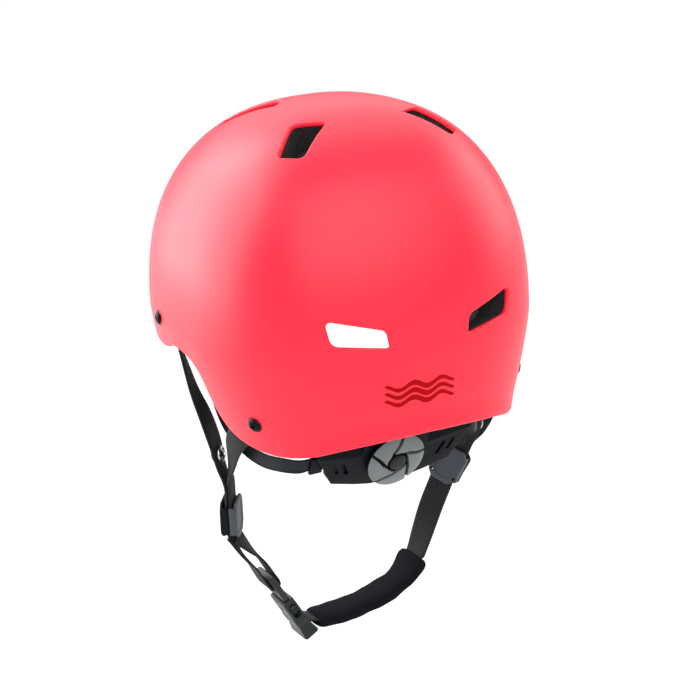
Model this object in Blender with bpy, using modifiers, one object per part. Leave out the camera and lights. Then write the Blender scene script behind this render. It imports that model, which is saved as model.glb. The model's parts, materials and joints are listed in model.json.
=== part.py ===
"""Water-sports helmet: moulded shell, foam liner, chin harness and dial-adjusted nape cradle.

Metres, +Z up, -Y the wearer's front, +X the wearer's left.  The origin is the middle of the flat
seat under the crown pad, where the wearer's head meets the helmet.  Positions that follow the
shell are worked out from its girth plane, the level at which the shell is widest.
"""
import math

import bmesh
import bpy
import numpy as np
from mathutils import Matrix, Vector

MM = 0.001

# ---- driving dimensions -------------------------------------------------------------------------
HALF_WIDTH = 108 * MM          # shell, at the girth
FRONT_REACH = 151.5 * MM       # shell, girth centre to brow
REAR_REACH = 100 * MM          # shell, girth centre to back
DOME_HEIGHT = 129.6 * MM       # shell, girth to crown
PLAN_POWER = 2.36              # superellipse power of the plan outline
SIDE_POWER = 2.36              # superellipse power of the dome, seen from behind
LONG_POWER = 2.22              # superellipse power of the dome, seen from the side
SHELL_WALL = 2.5 * MM
FOAM_WALL = 18 * MM
FOAM_GAP = 0.8 * MM            # between shell and foam
FOAM_LIFT = 6 * MM             # the foam stops this far above the shell's rim
GAP = 0.3 * MM                 # between parts that touch
CROWN_PAD = 6.7 * MM
GIRTH_Z = -(DOME_HEIGHT - SHELL_WALL - FOAM_GAP - FOAM_WALL - GAP - CROWN_PAD)

TAPER_DEPTH = 90 * MM          # depth below the girth at which the wall has drawn in by WALL_TAPER
TAPER_POWER = 1.34
WALL_TAPER = [(-90, 0.072), (-45, 0.148), (0, 0.273), (45, 0.157), (90, 0.094)]

# The rim's height over the girth, by bearing: -90 is the front, 0 the ear, 90 the back.
RIM = [(-90, -14), (-70, -16), (-50, -18.5), (-33, -19), (-24, -17), (-16, -12), (-9, -11.5),
       (-3, -13.5), (1, -18), (3.5, -24), (5.5, -35), (8.5, -46), (14, -54), (24, -59.5),
       (36, -61.5), (48, -59.5), (60, -55), (74, -52), (90, -50.6)]

WEB_WIDTH = 16 * MM
WEB_THICK = 1.5 * MM
FRONT_ANCHOR = (-25.0, 0.2)    # bearing in degrees, height over the girth in mm
REAR_ANCHOR = (28.4, -43.0)
ANCHOR_DEPTH = 4.8 * MM        # shell's outer face to the middle of the webbing
# Where each strap divider hangs: centre (mm from the girth centre), down the webbing, off the face.
DIVIDERS = {"left": ((79, -16.5, -125), (-0.14, 0.02, -0.99), (0.8, -0.6, 0)),
            "right": ((-79, -16.5, -125), (0.42, -0.2, -0.885), (-0.74, -0.6, -0.2))}
LAYER = 1.25                   # mm from the middle of a divider to the middle of each webbing layer
DIAL_CENTRE = (0, 53.5, -82.6)
DIAL_TILT = math.radians(-22)
DIAL_RADIUS = 19.2 * MM
PINION_TIP = 4.2 * MM
PINION_TEETH = 10
BLADES = 5
BUCKLE_CENTRE = (46.5, -15, -191)
BUCKLE_AXIS = Vector((-0.506, 0, -0.862)).normalized()
BUCKLE_OUT = Vector((0.862, 0, -0.506)).normalized()

COLOURS = {
    "shell_red": ((0.93, 0.075, 0.105), 0.42, 0.0),
    "foam_black": ((0.02, 0.02, 0.021), 0.85, 0.0),
    "pad_black": ((0.025, 0.025, 0.027), 0.95, 0.0),
    "webbing_black": ((0.018, 0.018, 0.02), 0.8, 0.0),
    "plastic_black": ((0.022, 0.024, 0.028), 0.45, 0.0),
    "plastic_slate": ((0.085, 0.09, 0.105), 0.5, 0.0),
    "band_slate": ((0.035, 0.04, 0.052), 0.5, 0.0),
    "dial_grey": ((0.2, 0.215, 0.22), 0.4, 0.0),
    "gloss_black": ((0.01, 0.01, 0.011), 0.12, 0.0),
    "steel": ((0.6, 0.6, 0.61), 0.25, 1.0),
    "steel_black": ((0.03, 0.03, 0.032), 0.35, 1.0),
}


# ---- scene helpers ------------------------------------------------------------------------------
def clear_scene():
    for item in list(bpy.data.objects):
        bpy.data.objects.remove(item, do_unlink=True)


def collection(name):
    group = bpy.data.collections.new(name)
    bpy.context.scene.collection.children.link(group)
    return group


def material(name):
    found = bpy.data.materials.get(name)
    if found:
        return found
    colour, roughness, metallic = COLOURS[name]
    made = bpy.data.materials.new(name)
    made.use_nodes = True
    shader = made.node_tree.nodes["Principled BSDF"]
    shader.inputs["Base Color"].default_value = (*colour, 1)
    shader.inputs["Roughness"].default_value = roughness
    shader.inputs["Metallic"].default_value = metallic
    return made


def add_mesh(name, bm, colour, matrix=None, parent=None, recalculate=True):
    """Turn a bmesh into a named object in the helmet's collection."""
    mesh = bpy.data.meshes.new(name)
    if recalculate:
        bmesh.ops.recalc_face_normals(bm, faces=bm.faces)
    bm.to_mesh(mesh)
    bm.free()
    made = bpy.data.objects.new(name, mesh)
    PARTS.objects.link(made)
    mesh.materials.append(material(colour))
    mesh.shade_smooth()
    mesh.set_sharp_from_angle(angle=math.radians(35))
    if parent:
        made.parent = parent
    if matrix is not None:
        made.matrix_basis = matrix
    return made


def as_cutter(made):
    PARTS.objects.unlink(made)
    CUTTERS.objects.link(made)
    made.hide_render = True
    made.display_type = "WIRE"
    return made


def cut(target, *cutters):
    for cutter in cutters:
        as_cutter(cutter)
        modifier = target.modifiers.new("cut " + cutter.name, "BOOLEAN")
        modifier.operation = "DIFFERENCE"
        modifier.object = cutter


def join(target, *pieces):
    for piece in pieces:
        as_cutter(piece)
        modifier = target.modifiers.new("join " + piece.name, "BOOLEAN")
        modifier.operation = "UNION"
        modifier.object = piece


def thicken(made, thickness, offset=-1.0):
    modifier = made.modifiers.new("wall", "SOLIDIFY")
    modifier.thickness = thickness
    modifier.offset = offset
    modifier.use_even_offset = True


def soften(made, width, segments=2, angle=40):
    modifier = made.modifiers.new("edges", "BEVEL")
    modifier.width = width
    modifier.segments = segments
    modifier.limit_method = "ANGLE"
    modifier.angle_limit = math.radians(angle)


def frame_matrix(origin, out, along):
    """A frame with Z along out and X as near to along as it can be."""
    z_axis = Vector(out).normalized()
    x_axis = (Vector(along) - z_axis * z_axis.dot(Vector(along))).normalized()
    y_axis = z_axis.cross(x_axis)
    turn = Matrix((x_axis, y_axis, z_axis)).transposed().to_4x4()
    return Matrix.Translation(Vector(origin)) @ turn


def block(name, size, centre, colour, matrix=None, parent=None, bevel=0.0):
    """A box, sizes and centre in millimetres of its own frame."""
    bm = bmesh.new()
    bmesh.ops.create_cube(bm, size=1.0)
    for vert in bm.verts:
        vert.co = Vector((vert.co[i] * size[i] + centre[i] for i in range(3))) * MM
    made = add_mesh(name, bm, colour, matrix, parent)
    if bevel:
        soften(made, bevel * MM)
    return made


def turned(name, profile, colour, matrix=None, parent=None, steps=24):
    """A turned part: profile points (radius, height) in millimetres, run down the outer side."""
    bm = bmesh.new()
    ring = [bm.verts.new((radius * MM, 0, height * MM)) for radius, height in profile]
    for first, second in zip(ring, ring[1:]):
        bm.edges.new((first, second))
    if profile[0][0] > 0:
        bm.edges.new((ring[-1], ring[0]))
    made = add_mesh(name, bm, colour, matrix, parent)
    screw = made.modifiers.new("turn", "SCREW")
    screw.steps = steps
    screw.render_steps = steps
    screw.use_merge_vertices = True
    screw.merge_threshold = 0.00001
    return made


def prism(name, outline, depth, colour, matrix=None, parent=None):
    """A flat outline (x, y) in millimetres, thickened by depth either side of its plane."""
    curve = bpy.data.curves.new(name, "CURVE")
    curve.dimensions = "2D"
    curve.fill_mode = "BOTH"
    curve.extrude = depth * MM
    spline = curve.splines.new("POLY")
    spline.points.add(len(outline) - 1)
    for point, (x, y) in zip(spline.points, outline):
        point.co = (x * MM, y * MM, 0, 1)
    spline.use_cyclic_u = True
    holder = bpy.data.objects.new(name + " outline", curve)
    PARTS.objects.link(holder)
    bpy.context.view_layer.update()
    solid = bpy.data.meshes.new_from_object(holder.evaluated_get(bpy.context.evaluated_depsgraph_get()))
    bpy.data.objects.remove(holder, do_unlink=True)
    bm = bmesh.new()
    bm.from_mesh(solid)
    bpy.data.meshes.remove(solid)
    bmesh.ops.remove_doubles(bm, verts=bm.verts, dist=0.000001)
    return add_mesh(name, bm, colour, matrix, parent)


def rounded(corners, steps=3):
    """Round the corners (x, y, radius) of an outline with arcs."""
    outline = []
    count = len(corners)
    for i, (x, y, radius) in enumerate(corners):
        here = Vector((x, y))
        back = (Vector(corners[i - 1][:2]) - here).normalized()
        ahead = (Vector(corners[(i + 1) % count][:2]) - here).normalized()
        half = back.angle(ahead) / 2
        reach = radius / math.tan(half)
        centre = here + (back + ahead).normalized() * (radius / math.sin(half))
        start = here + back * reach - centre
        end = here + ahead * reach - centre
        sweep = start.angle_signed(end)
        for k in range(steps + 1):
            spoke = start.copy()
            spoke.rotate(Matrix.Rotation(-sweep * k / steps, 2))
            outline.append(tuple(centre + spoke))
    return outline


# ---- paths --------------------------------------------------------------------------------------
def smooth_path(points, spans):
    """Points on a Catmull-Rom curve through the given ones."""
    known = [Vector(point) for point in points]
    known = [known[0] * 2 - known[1]] + known + [known[-1] * 2 - known[-2]]
    path = []
    for p0, p1, p2, p3 in zip(known, known[1:], known[2:], known[3:]):
        for k in range(spans):
            t = k / spans
            path.append(0.5 * (2 * p1 + (p2 - p0) * t + (2 * p0 - 5 * p1 + 4 * p2 - p3) * t ** 2
                               + (3 * p1 - p0 - 3 * p2 + p3) * t ** 3))
    path.append(known[-2])
    return path


def ribbon(name, stations, width, thick, colour, spans=3):
    """A flat strip through stations of (centre, outward normal), lengths in metres."""
    centres = smooth_path([station[0] for station in stations], spans)
    normals = smooth_path([station[1] for station in stations], spans)
    bm = bmesh.new()
    bmesh.ops.create_grid(bm, x_segments=len(centres) - 1, y_segments=1, size=0.5)
    for vert in bm.verts:
        k = round((vert.co.x + 0.5) * (len(centres) - 1))
        ahead = (centres[min(k + 1, len(centres) - 1)] - centres[max(k - 1, 0)]).normalized()
        across = normals[k].cross(ahead).normalized()
        vert.co = centres[k] + across * width * math.copysign(0.5, vert.co.y)
    made = add_mesh(name, bm, colour)
    thicken(made, thick, 0.0)
    return made


# ---- the shell's surface ------------------------------------------------------------------------
def over_girth(point):
    """Millimetres from the girth centre to metres from the seat."""
    return Vector(point) * MM + Vector((0, 0, GIRTH_Z))


def table(pairs, value):
    return float(np.interp(value, [pair[0] for pair in pairs], [pair[1] for pair in pairs]))


def folded(bearing):
    """The bearing mirrored into -90 to 90 degrees, front to back."""
    return math.degrees(math.asin(max(-1.0, min(1.0, math.sin(bearing)))))


def surface(bearing, height, inset=0.0):
    """A point of the shell's outer surface; height is over the girth, inset shrinks the form."""
    cos, sin = abs(math.cos(bearing)), math.sin(bearing)
    reach = (REAR_REACH if sin > 0 else FRONT_REACH) - inset
    plan = ((cos / (HALF_WIDTH - inset)) ** PLAN_POWER + (abs(sin) / reach) ** PLAN_POWER)
    radius = plan ** (-1 / PLAN_POWER)
    if height > 0:
        power = SIDE_POWER * cos ** 2 + LONG_POWER * sin ** 2
        level = min(1.0, height / (DOME_HEIGHT - inset))
        radius *= (1 - level ** power) ** (1 / power)
    else:
        radius *= 1 - table(WALL_TAPER, folded(bearing)) * (-height / TAPER_DEPTH) ** TAPER_POWER
    return Vector((radius * math.cos(bearing), radius * math.sin(bearing), GIRTH_Z + height))


def surface_normal(bearing, height):
    step = 0.01
    side = surface(bearing + step, height) - surface(bearing - step, height)
    rise = surface(bearing, height + 0.001) - surface(bearing, height - 0.001)
    return side.cross(rise).normalized()


def height_over(x, y):
    """Height over the girth of the dome above a plan position."""
    bearing = math.atan2(y, x)
    cos, sin = abs(math.cos(bearing)), math.sin(bearing)
    reach = surface(bearing, 0.0)
    power = SIDE_POWER * cos ** 2 + LONG_POWER * sin ** 2
    level = (math.hypot(x, y) / math.hypot(reach.x, reach.y)) ** power
    return DOME_HEIGHT * (1 - level) ** (1 / power)


def rim_loop(count):
    """Evenly spaced (bearing, height) round the rim, starting at the front."""
    half = smooth_path([(bearing, height, 0) for bearing, height in RIM], 6)
    loop = [(math.radians(p.x), p.y * MM) for p in half]
    loop += [(math.pi - bearing, height) for bearing, height in reversed(loop[:-1])]
    places = [surface(bearing, height) for bearing, height in loop]
    run = np.concatenate([[0], np.cumsum([(b - a).length for a, b in zip(places, places[1:])])])
    wanted = np.arange(count) * run[-1] / count
    bearings = np.interp(wanted, run, [bearing for bearing, height in loop])
    heights = np.interp(wanted, run, [height for bearing, height in loop])
    return list(zip(bearings.tolist(), heights.tolist()))


def dome(name, colour, columns, upper, lower, inset, lift):
    """An open dome that follows the shell's form, inset from it, its edge lifted off the rim."""
    bm = bmesh.new()
    bmesh.ops.create_uvsphere(bm, u_segments=columns, v_segments=2 * upper, radius=1.0)
    row_angle = math.pi / (2 * upper)
    doomed = [v for v in bm.verts if v.co.z < -math.sin((lower + 0.5) * row_angle)]
    bmesh.ops.delete(bm, geom=doomed, context="VERTS")
    rim = rim_loop(columns)
    for vert in bm.verts:
        row = math.asin(max(-1.0, min(1.0, vert.co.z))) / row_angle
        turn = (math.atan2(vert.co.y, vert.co.x) + math.pi / 2) % (2 * math.pi)
        column = round(turn / (2 * math.pi) * columns) % columns
        even = -math.pi / 2 + 2 * math.pi * column / columns
        bearing, rim_height = rim[column]
        if row > 0.01:
            share = max(0.0, 1 - row / upper) ** 1.5
            height = (DOME_HEIGHT - inset) * math.sin(row * row_angle)
        else:
            share = 1.0
            height = (rim_height + lift) * round(-row) / lower
        vert.co = surface(even + (bearing - even) * share, height, inset)
    return add_mesh(name, bm, colour)


# ---- vents --------------------------------------------------------------------------------------
def plan_corner(x, y, radius):
    return Vector((x * MM, y * MM, GIRTH_Z + height_over(x * MM, y * MM))), radius


def wall_corner(bearing, height, radius):
    return surface(math.radians(bearing), height * MM), radius


VENTS = {
    "rear": [(54.6, 24.3, 2.5), (74, 15.6, 4.5), (75, 5, 1.3), (56.6, 9.5, 6)],
    "brow": [(-57, 39, 2.5), (-71, 31, 4.5), (-72, 20.5, 1.3), (-58.5, 24.5, 6)],
    "crown_rear": [(41.5, 18, 4), (25.5, 29.5, 1.5), (49.4, 45.8, 5), (59.3, 34.6, 1.8)],
    "crown_front": [(30.8, -24.3, 2), (20.5, -38, 4.5), (44.5, -68.5, 2), (54, -59.6, 4.5)],
}
VENT_LEAN = {"rear": Vector((0.42, 0.86, 0.28)), "brow": Vector((0.35, -0.9, 0.1))}


def vent_cutter(kind, side, grow, label):
    """A prism through the wall at a vent; grow widens its outline in millimetres."""
    make = plan_corner if kind.startswith("crown") else wall_corner
    corners = [make(*corner) for corner in VENTS[kind]]
    middle = sum((place for place, radius in corners), Vector()) / len(corners)
    lean = VENT_LEAN.get(kind) or surface_normal(math.atan2(middle.y, middle.x), middle.z - GIRTH_Z)
    matrix = frame_matrix(middle, lean, corners[1][0] - corners[0][0])
    inverse = matrix.inverted()
    flat = [(inverse @ place, radius) for place, radius in corners]
    outline = []
    for spot, radius in flat:
        away = Vector((spot.x, spot.y)).normalized() * grow
        outline.append((spot.x / MM + away.x, spot.y / MM + away.y, radius + grow * 0.5))
    cutter = prism(f"{label}_{kind}_{side}", rounded(outline), 32, "foam_black", matrix)
    if side == "right":
        cutter.matrix_basis = Matrix.Diagonal((-1, 1, 1, 1)) @ matrix
    return cutter


# ---- anchors and webbing ------------------------------------------------------------------------
def anchor_frame(anchor, side):
    """Place and outward normal of a harness screw on the shell's outer surface."""
    bearing, height = math.radians(anchor[0]), anchor[1] * MM
    place = surface(bearing, height)
    out = surface_normal(bearing, height)
    if side == "right":
        place = Vector((-place.x, place.y, place.z))
        out = Vector((-out.x, out.y, out.z))
    return place, out


def mirrored(listed):
    return [((-c[0], c[1], c[2]), (-n[0], n[1], n[2])) for c, n in listed]


LEFT_FRONT = [((97.6, -38.2, -16), (0.9, -0.43, -0.05)), ((94, -28.5, -41.8), (0.75, -0.65, 0)),
              ((90, -22.8, -58.3), (0.66, -0.75, 0)), ((86, -19.6, -75.7), (0.66, -0.75, 0)),
              ((83.4, -18.3, -91), (0.75, -0.66, 0))]
LEFT_REAR = [((88.3, 22.5, -58), (0.93, 0.25, -0.2)), ((85.6, 6, -71), (0.98, 0.05, -0.15)),
             ((81.8, -7, -85.5), (0.95, -0.3, -0.1)), ((80.3, -13.6, -96), (0.85, -0.52, 0))]
RIGHT_FRONT = [((-97.8, -37.5, -17), (-0.9, -0.43, -0.05)), ((-101.5, -27, -42), (-0.85, -0.5, 0.1)),
               ((-104.5, -16, -67), (-0.8, -0.6, 0)), ((-102.5, -9.5, -86), (-0.74, -0.66, -0.1)),
               ((-95.5, -9.3, -98), (-0.68, -0.7, -0.2))]
RIGHT_REAR = [((-88.3, 22.5, -58), (-0.93, 0.25, -0.2)), ((-88.5, 6, -72), (-0.98, 0.05, -0.15)),
              ((-90.5, -3, -86.5), (-0.95, -0.3, -0.1)), ((-89.5, -7, -97), (-0.85, -0.52, -0.1))]


ROUTES = {"left_front": LEFT_FRONT, "left_rear": LEFT_REAR,
          "right_front": RIGHT_FRONT, "right_rear": RIGHT_REAR}
SNAP_STATION = {"left": 6.5, "right": 7.0}


def divider_matrix(side):
    """Local axes: X down the webbing, Y across it, Z off the face."""
    centre, down, out = DIVIDERS[side]
    return frame_matrix(over_girth(centre), out, down)


def divider_point(side, along, out):
    return divider_matrix(side) @ Vector((along * MM, 0, out * MM))


def web_stations(anchor, side, listed, layer):
    """Webbing from its anchor inside the shell, by the listed stations, through the divider."""
    place, out = anchor_frame(anchor, side)
    seat = place - out * ANCHOR_DEPTH
    ahead = over_girth(listed[0][0]) - seat
    ahead = (ahead - out * ahead.dot(out)).normalized()
    run = [(seat - ahead * 9 * MM, out), (seat, out), (seat + ahead * 7 * MM, out)]
    run += [(over_girth(centre), Vector(normal).normalized()) for centre, normal in listed]
    off_face = divider_matrix(side).to_3x3() @ Vector((0, 0, 1))
    return run + [(divider_point(side, along, layer), off_face) for along in (-22, -11, 0, 11)]


def along_web(run, place):
    """A frame on the webbing at a fractional station: X down it, Z off the face."""
    spans = 8
    centres = smooth_path([centre for centre, normal in run], spans)
    normals = smooth_path([normal for centre, normal in run], spans)
    k = round(place * spans)
    ahead = centres[k + 1] - centres[k - 1]
    out = normals[k] - ahead.normalized() * normals[k].dot(ahead.normalized())
    return frame_matrix(centres[k], out, ahead)


def harness_anchor(anchor, side, label):
    """Screw through the shell into a T-nut that holds the webbing from inside."""
    place, out = anchor_frame(anchor, side)
    matrix = frame_matrix(place, out, (0, 0, 1))
    turned("screw_" + label, [(0, 2.5), (2.6, 2.2), (4.3, 1.0), (4.6, 0.35), (2.0, 0.35), (2.0, -5.8), (0, -5.8)],
           "steel_black", matrix, steps=20)
    turned("t_nut_" + label, [(3.3, -0.4), (3.3, -5.9), (7.5, -5.9), (7.5, -7.2), (2.3, -7.2), (2.3, -0.4)],
           "steel", matrix, steps=20)
    hole = turned("hole_" + label, [(0, 6), (3.7, 6), (3.7, -12), (0, -12)], "steel", matrix, steps=16)
    pocket = turned("pocket_" + label, [(0, 6), (8.5, 6), (8.5, -8.6), (0, -8.6)], "steel", matrix, steps=16)
    return as_cutter(hole), as_cutter(pocket)


def cut_again(target, *cutters):
    """Cut with cutters that other parts use too."""
    for cutter in cutters:
        modifier = target.modifiers.new("cut " + cutter.name, "BOOLEAN")
        modifier.operation = "DIFFERENCE"
        modifier.object = cutter


def add_snap(side, matrix):
    """The snap on a front strap: a steel spring socket next to the cheek, its cap on the far face."""
    face = WEB_THICK / 2 / MM + 0.45
    turned(side + "_snap_cap", [(0, face + 2.6), (3, face + 2.3), (5, face + 1.2), (5.6, face), (0, face)],
           "plastic_black", matrix, steps=20)
    turned(side + "_snap_socket", [(2.6, -face), (5.2, -face), (5.2, -face - 1.4), (4.4, -face - 2.2),
                                   (3.4, -face - 2.2), (2.6, -face - 1.2)], "steel", matrix, steps=20)


def make_shell_and_harness():
    shell = dome("outer_shell", "shell_red", 56, 11, 5, 0.0, 0.0)
    thicken(shell, SHELL_WALL)
    foam = dome("foam_liner", "foam_black", 40, 9, 4, SHELL_WALL + FOAM_GAP, FOAM_LIFT)
    thicken(foam, FOAM_WALL)
    for kind in VENTS:
        for side in ("left", "right"):
            cut(shell, vent_cutter(kind, side, 0.0, "shell_vent"))
            cut(foam, vent_cutter(kind, side, 1.6, "foam_vent"))
    for label, listed in ROUTES.items():
        side, end = label.split("_")
        anchor = FRONT_ANCHOR if end == "front" else REAR_ANCHOR
        layer = LAYER if end == "front" else -LAYER
        hole, pocket = harness_anchor(anchor, side, label)
        run = web_stations(anchor, side, listed, layer)
        strap = ribbon(label + "_strap", run, WEB_WIDTH, WEB_THICK, "webbing_black", 2)
        cut_again(strap, hole)
        cut_again(shell, hole)
        cut(foam, ribbon(label + "_channel", run[:4], 20 * MM, 8 * MM, "foam_black", 2))
        cut_again(foam, pocket)
        if end == "front":
            add_snap(side, along_web(run, SNAP_STATION[side]))


# ---- comfort pads -------------------------------------------------------------------------------
def comfort_pad(name, bearings, heights, thick=6.5):
    """A pad that lies on the foam's inner face, between two bearings and two heights."""
    inset = SHELL_WALL + FOAM_GAP + FOAM_WALL + 1.4 * MM
    bm = bmesh.new()
    bmesh.ops.create_grid(bm, x_segments=10, y_segments=4, size=0.5)
    for vert in bm.verts:
        bearing = bearings[0] + (bearings[1] - bearings[0]) * (vert.co.x + 0.5)
        height = heights[0] + (heights[1] - heights[0]) * (vert.co.y + 0.5)
        vert.co = surface(math.radians(bearing), height * MM, inset)
    made = add_mesh(name, bm, "pad_black", recalculate=False)
    thicken(made, thick * MM)
    return made


def make_pads():
    turned("crown_pad", [(0, 6.4), (9, 6.0), (16, 4.7), (21, 3.2), (23.5, 1.4), (23, 0), (0, 0)],
           "pad_black", steps=24)
    comfort_pad("front_pad", (-132, -48), (-5, 15))
    comfort_pad("rear_pad", (62, 118), (-38, -14))
    comfort_pad("left_pad", (-16, 22), (8, 40))
    comfort_pad("right_pad", (158, 196), (8, 40))


# ---- strap dividers -----------------------------------------------------------------------------
def make_dividers():
    """Each divider is a slotted base next to the cheek with a cover clipped over the webbing."""
    for side in DIVIDERS:
        matrix = divider_matrix(side)
        base = block(side + "_divider_base", (25, 22, 1.8), (0, 0, -4.4), "plastic_slate", matrix, bevel=0.6)
        rails = [block(f"{side}_rail_{k}", (25, 1.9, 3.6), (0, 10.0 * k, -2.2), "plastic_slate", matrix)
                 for k in (-1, 1)]
        join(base, *rails)
        cover = block(side + "_divider_cover", (24, 22, 1.8), (0, 0, 4.4), "plastic_black", matrix, bevel=0.6)
        lips = [block(f"{side}_lip_{k}", (24, 1.9, 4.0), (0, 10.0 * k, 2.2), "plastic_black", matrix)
                for k in (-1, 1)]
        join(cover, *lips)


# ---- lower straps, chin pad and buckle ----------------------------------------------------------
def buckle_matrix():
    """Local axes: X along the buckle to the chin, Y across it, Z away from the face."""
    return frame_matrix(over_girth(BUCKLE_CENTRE), BUCKLE_OUT, BUCKLE_AXIS)


def buckle_point(along, out):
    return buckle_matrix() @ Vector((along * MM, 0, out * MM))


def make_lower_straps():
    bar_out = BUCKLE_OUT
    diagonal = (BUCKLE_OUT + BUCKLE_AXIS).normalized()
    inner_diagonal = (BUCKLE_AXIS - BUCKLE_OUT).normalized()
    down = [(divider_point("left", 16, 1.9), Vector((0.8, -0.6, 0))),
            (over_girth((74.5, -16, -151)), Vector((0.85, -0.25, -0.45))),
            (over_girth((67.8, -15.3, -161)), Vector((0.84, -0.05, -0.53)))]
    around = [(buckle_point(-24.5, 3.7), bar_out), (buckle_point(-19.6, 3.7), bar_out),
              (buckle_point(-16.7, 2.7), diagonal), (buckle_point(-15.5, 0), BUCKLE_AXIS),
              (buckle_point(-16.7, -2.7), inner_diagonal), (buckle_point(-19.6, -3.7), -bar_out),
              (buckle_point(-24.5, -3.7), -bar_out)]
    back = [(over_girth((62.5, -15.3, -156.5)), Vector((-0.8, 0.05, 0.6))),
            (over_girth((69.5, -15.6, -147.5)), Vector((-0.82, 0.35, 0.45))),
            (divider_point("left", 16, -1.9), Vector((-0.8, 0.6, 0)))]
    ribbon("left_lower_strap", down + around + back, WEB_WIDTH, 1.3 * MM, "webbing_black", 2)
    run = lower_right_run()
    ribbon("right_lower_strap", run, WEB_WIDTH, 2.2 * MM, "webbing_black", 2)


def lower_right_run():
    """Stations of the webbing from the right divider, under the chin, into the buckle."""
    listed = [((-65.5, -19.5, -153.5), (-0.72, -0.62, -0.3)), ((-57.5, -17, -168), (-0.78, -0.42, -0.45)),
              ((-50, -15.3, -182.5), (-0.74, -0.2, -0.65)), ((-38.5, -15, -195.5), (-0.45, 0, -0.89)),
              ((-22, -15, -203), (-0.25, 0, -0.97)), ((-4, -15, -207), (-0.08, 0, -1)),
              ((11, -15, -208.3), (0, 0, -1)), ((23.5, -15, -208.3), (0, 0, -1))]
    run = [(divider_point("right", 16, 0), Vector((-0.74, -0.6, -0.2)))]
    run += [(over_girth(centre), Vector(normal).normalized()) for centre, normal in listed]
    return run + [(buckle_point(21.0, -5.6), BUCKLE_AXIS), (buckle_point(20.3, 0.6), BUCKLE_AXIS)]


def make_chin_pad():
    """A soft sleeve round the webbing under the chin."""
    run = lower_right_run()
    sleeve = ribbon("chin_pad", run[3:9], 25 * MM, 9.5 * MM, "pad_black", 2)
    cut(sleeve, ribbon("chin_pad_bore", run[2:10], WEB_WIDTH + 1.4 * MM, 4 * MM, "pad_black", 2))


def make_buckle():
    matrix = buckle_matrix()
    female = block("buckle_female", (24.5, 20.5, 8.6), (7.75, 0, 0), "plastic_black", matrix, bevel=1.2)
    flare = prism("buckle_flare", [(19.5, -10.0), (26.5, -11.8), (26.5, 11.8), (19.5, 10.0)], 4.6,
                  "plastic_black", matrix)
    join(female, flare)
    cut(female,
        block("socket", (17.5, 17.2, 5.0), (3.2, 0, 0), "plastic_black", matrix),
        block("side_windows", (10.5, 30, 5.0), (4.7, 0, 0), "plastic_black", matrix),
        block("strap_slot", (3.6, 17.2, 12), (20.3, 0, -2.6), "plastic_black", matrix),
        block("strap_slot_outer", (4.4, 17.2, 4.4), (24.9, 0, -4.5), "plastic_black", matrix))
    male = block("buckle_male", (20.0, 20.5, 4.6), (-16.0, 0, 0), "plastic_black", matrix, bevel=0.9)
    tongue = block("tongue", (14, 4.4, 3.0), (-0.2, 0, 0), "plastic_black", matrix)
    join(male, tongue)
    cut(male,
        block("ladder_slot_low", (4.9, 17.0, 9), (-15.75, 0, 0), "plastic_black", matrix),
        block("ladder_slot_high", (3.6, 17.0, 9), (-22.4, 0, 0), "plastic_black", matrix))
    for label, sign in (("rear", 1), ("front", -1)):
        outline = [(-5.6, 4.2), (-5.6, 8.0), (0.2, 8.2), (0.8, 10.9), (3.6, 11.2), (8.8, 6.2), (8.2, 4.6)]
        outline = [(x, y * sign) for x, y in outline]
        prong = prism("buckle_prong_" + label, outline, 1.9, "plastic_black", matrix)
        soften(prong, 0.4 * MM, 1)


# ---- nape cradle with its dial ------------------------------------------------------------------
def cradle_frame():
    """An empty at the dial's centre: its Y axis is the dial's axis, pointing away from the head."""
    empty = bpy.data.objects.new("cradle_frame", None)
    PARTS.objects.link(empty)
    empty.location = over_girth(DIAL_CENTRE)
    empty.rotation_euler = (DIAL_TILT, 0, 0)
    return empty


def across_y(depth_mm):
    """A frame whose Z points along the parent's Y, for outlines drawn in X and Z."""
    return Matrix.Translation((0, depth_mm * MM, 0)) @ Matrix.Rotation(math.radians(-90), 4, "X")


def make_cradle(parent):
    half = [(0, -19), (13, -18.8), (24, -16.5), (41, -11.5), (54.5, 13.5), (38, 16), (20, 17.5), (0, 18)]
    outline = half + [(-x, z) for x, z in reversed(half[1:-1])]
    flipped = [(x, -z) for x, z in outline]
    housing = prism("cradle_housing", flipped, 4.5, "plastic_black", across_y(-7.6), parent)
    soften(housing, 1.2 * MM, 2)
    cut(housing,
        block("rack_room", (120, 7, 17), (0, -8.7, 0.4), "plastic_black", None, parent),
        turned("axle_hole", [(0, 30), (3.6, 30), (3.6, -30), (0, -30)], "plastic_black",
               across_y(0), parent, steps=16))
    for sign in (-1, 1):
        for x, z, length in ((33.3, -1.5, 11), (40, 0, 9.5)):
            slot_matrix = (Matrix.Translation((x * sign * MM, -3.2 * MM, z * MM))
                           @ Matrix.Rotation(math.radians(26 * sign), 4, "Y"))
            cut(housing, block(f"wing_slot_{x}_{sign}", (2.4, 3, length), (0, 0, 0), "plastic_black",
                               slot_matrix, parent))
    block("cradle_back", (76, 1.5, 16), (0, -13.2, 0.4), "plastic_black", None, parent, bevel=0.4)
    block("cradle_pad", (70, 4.5, 20), (0, -16.7, 0), "pad_black", None, parent, bevel=1.6)
    turned("ratchet_ring", [(4.2, -5.6), (7.6, -5.6), (7.6, -6.9), (4.2, -6.9)], "plastic_slate",
           across_y(0), parent)


def make_racks(parent):
    """Strips that the pinion draws together; the left one runs above it, the right one below."""
    for side, sign in (("left", 1), ("right", -1)):
        rack = block(side + "_rack", (64, 2.4, 2.6), (21 * sign, -8.4, 5.9 * sign), "plastic_black",
                     None, parent)
        tab = block(side + "_rack_tab", (8.5, 2.4, 12), (50.5 * sign, -8.4, 2 * sign), "plastic_black",
                    None, parent)
        join(rack, tab)


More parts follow.
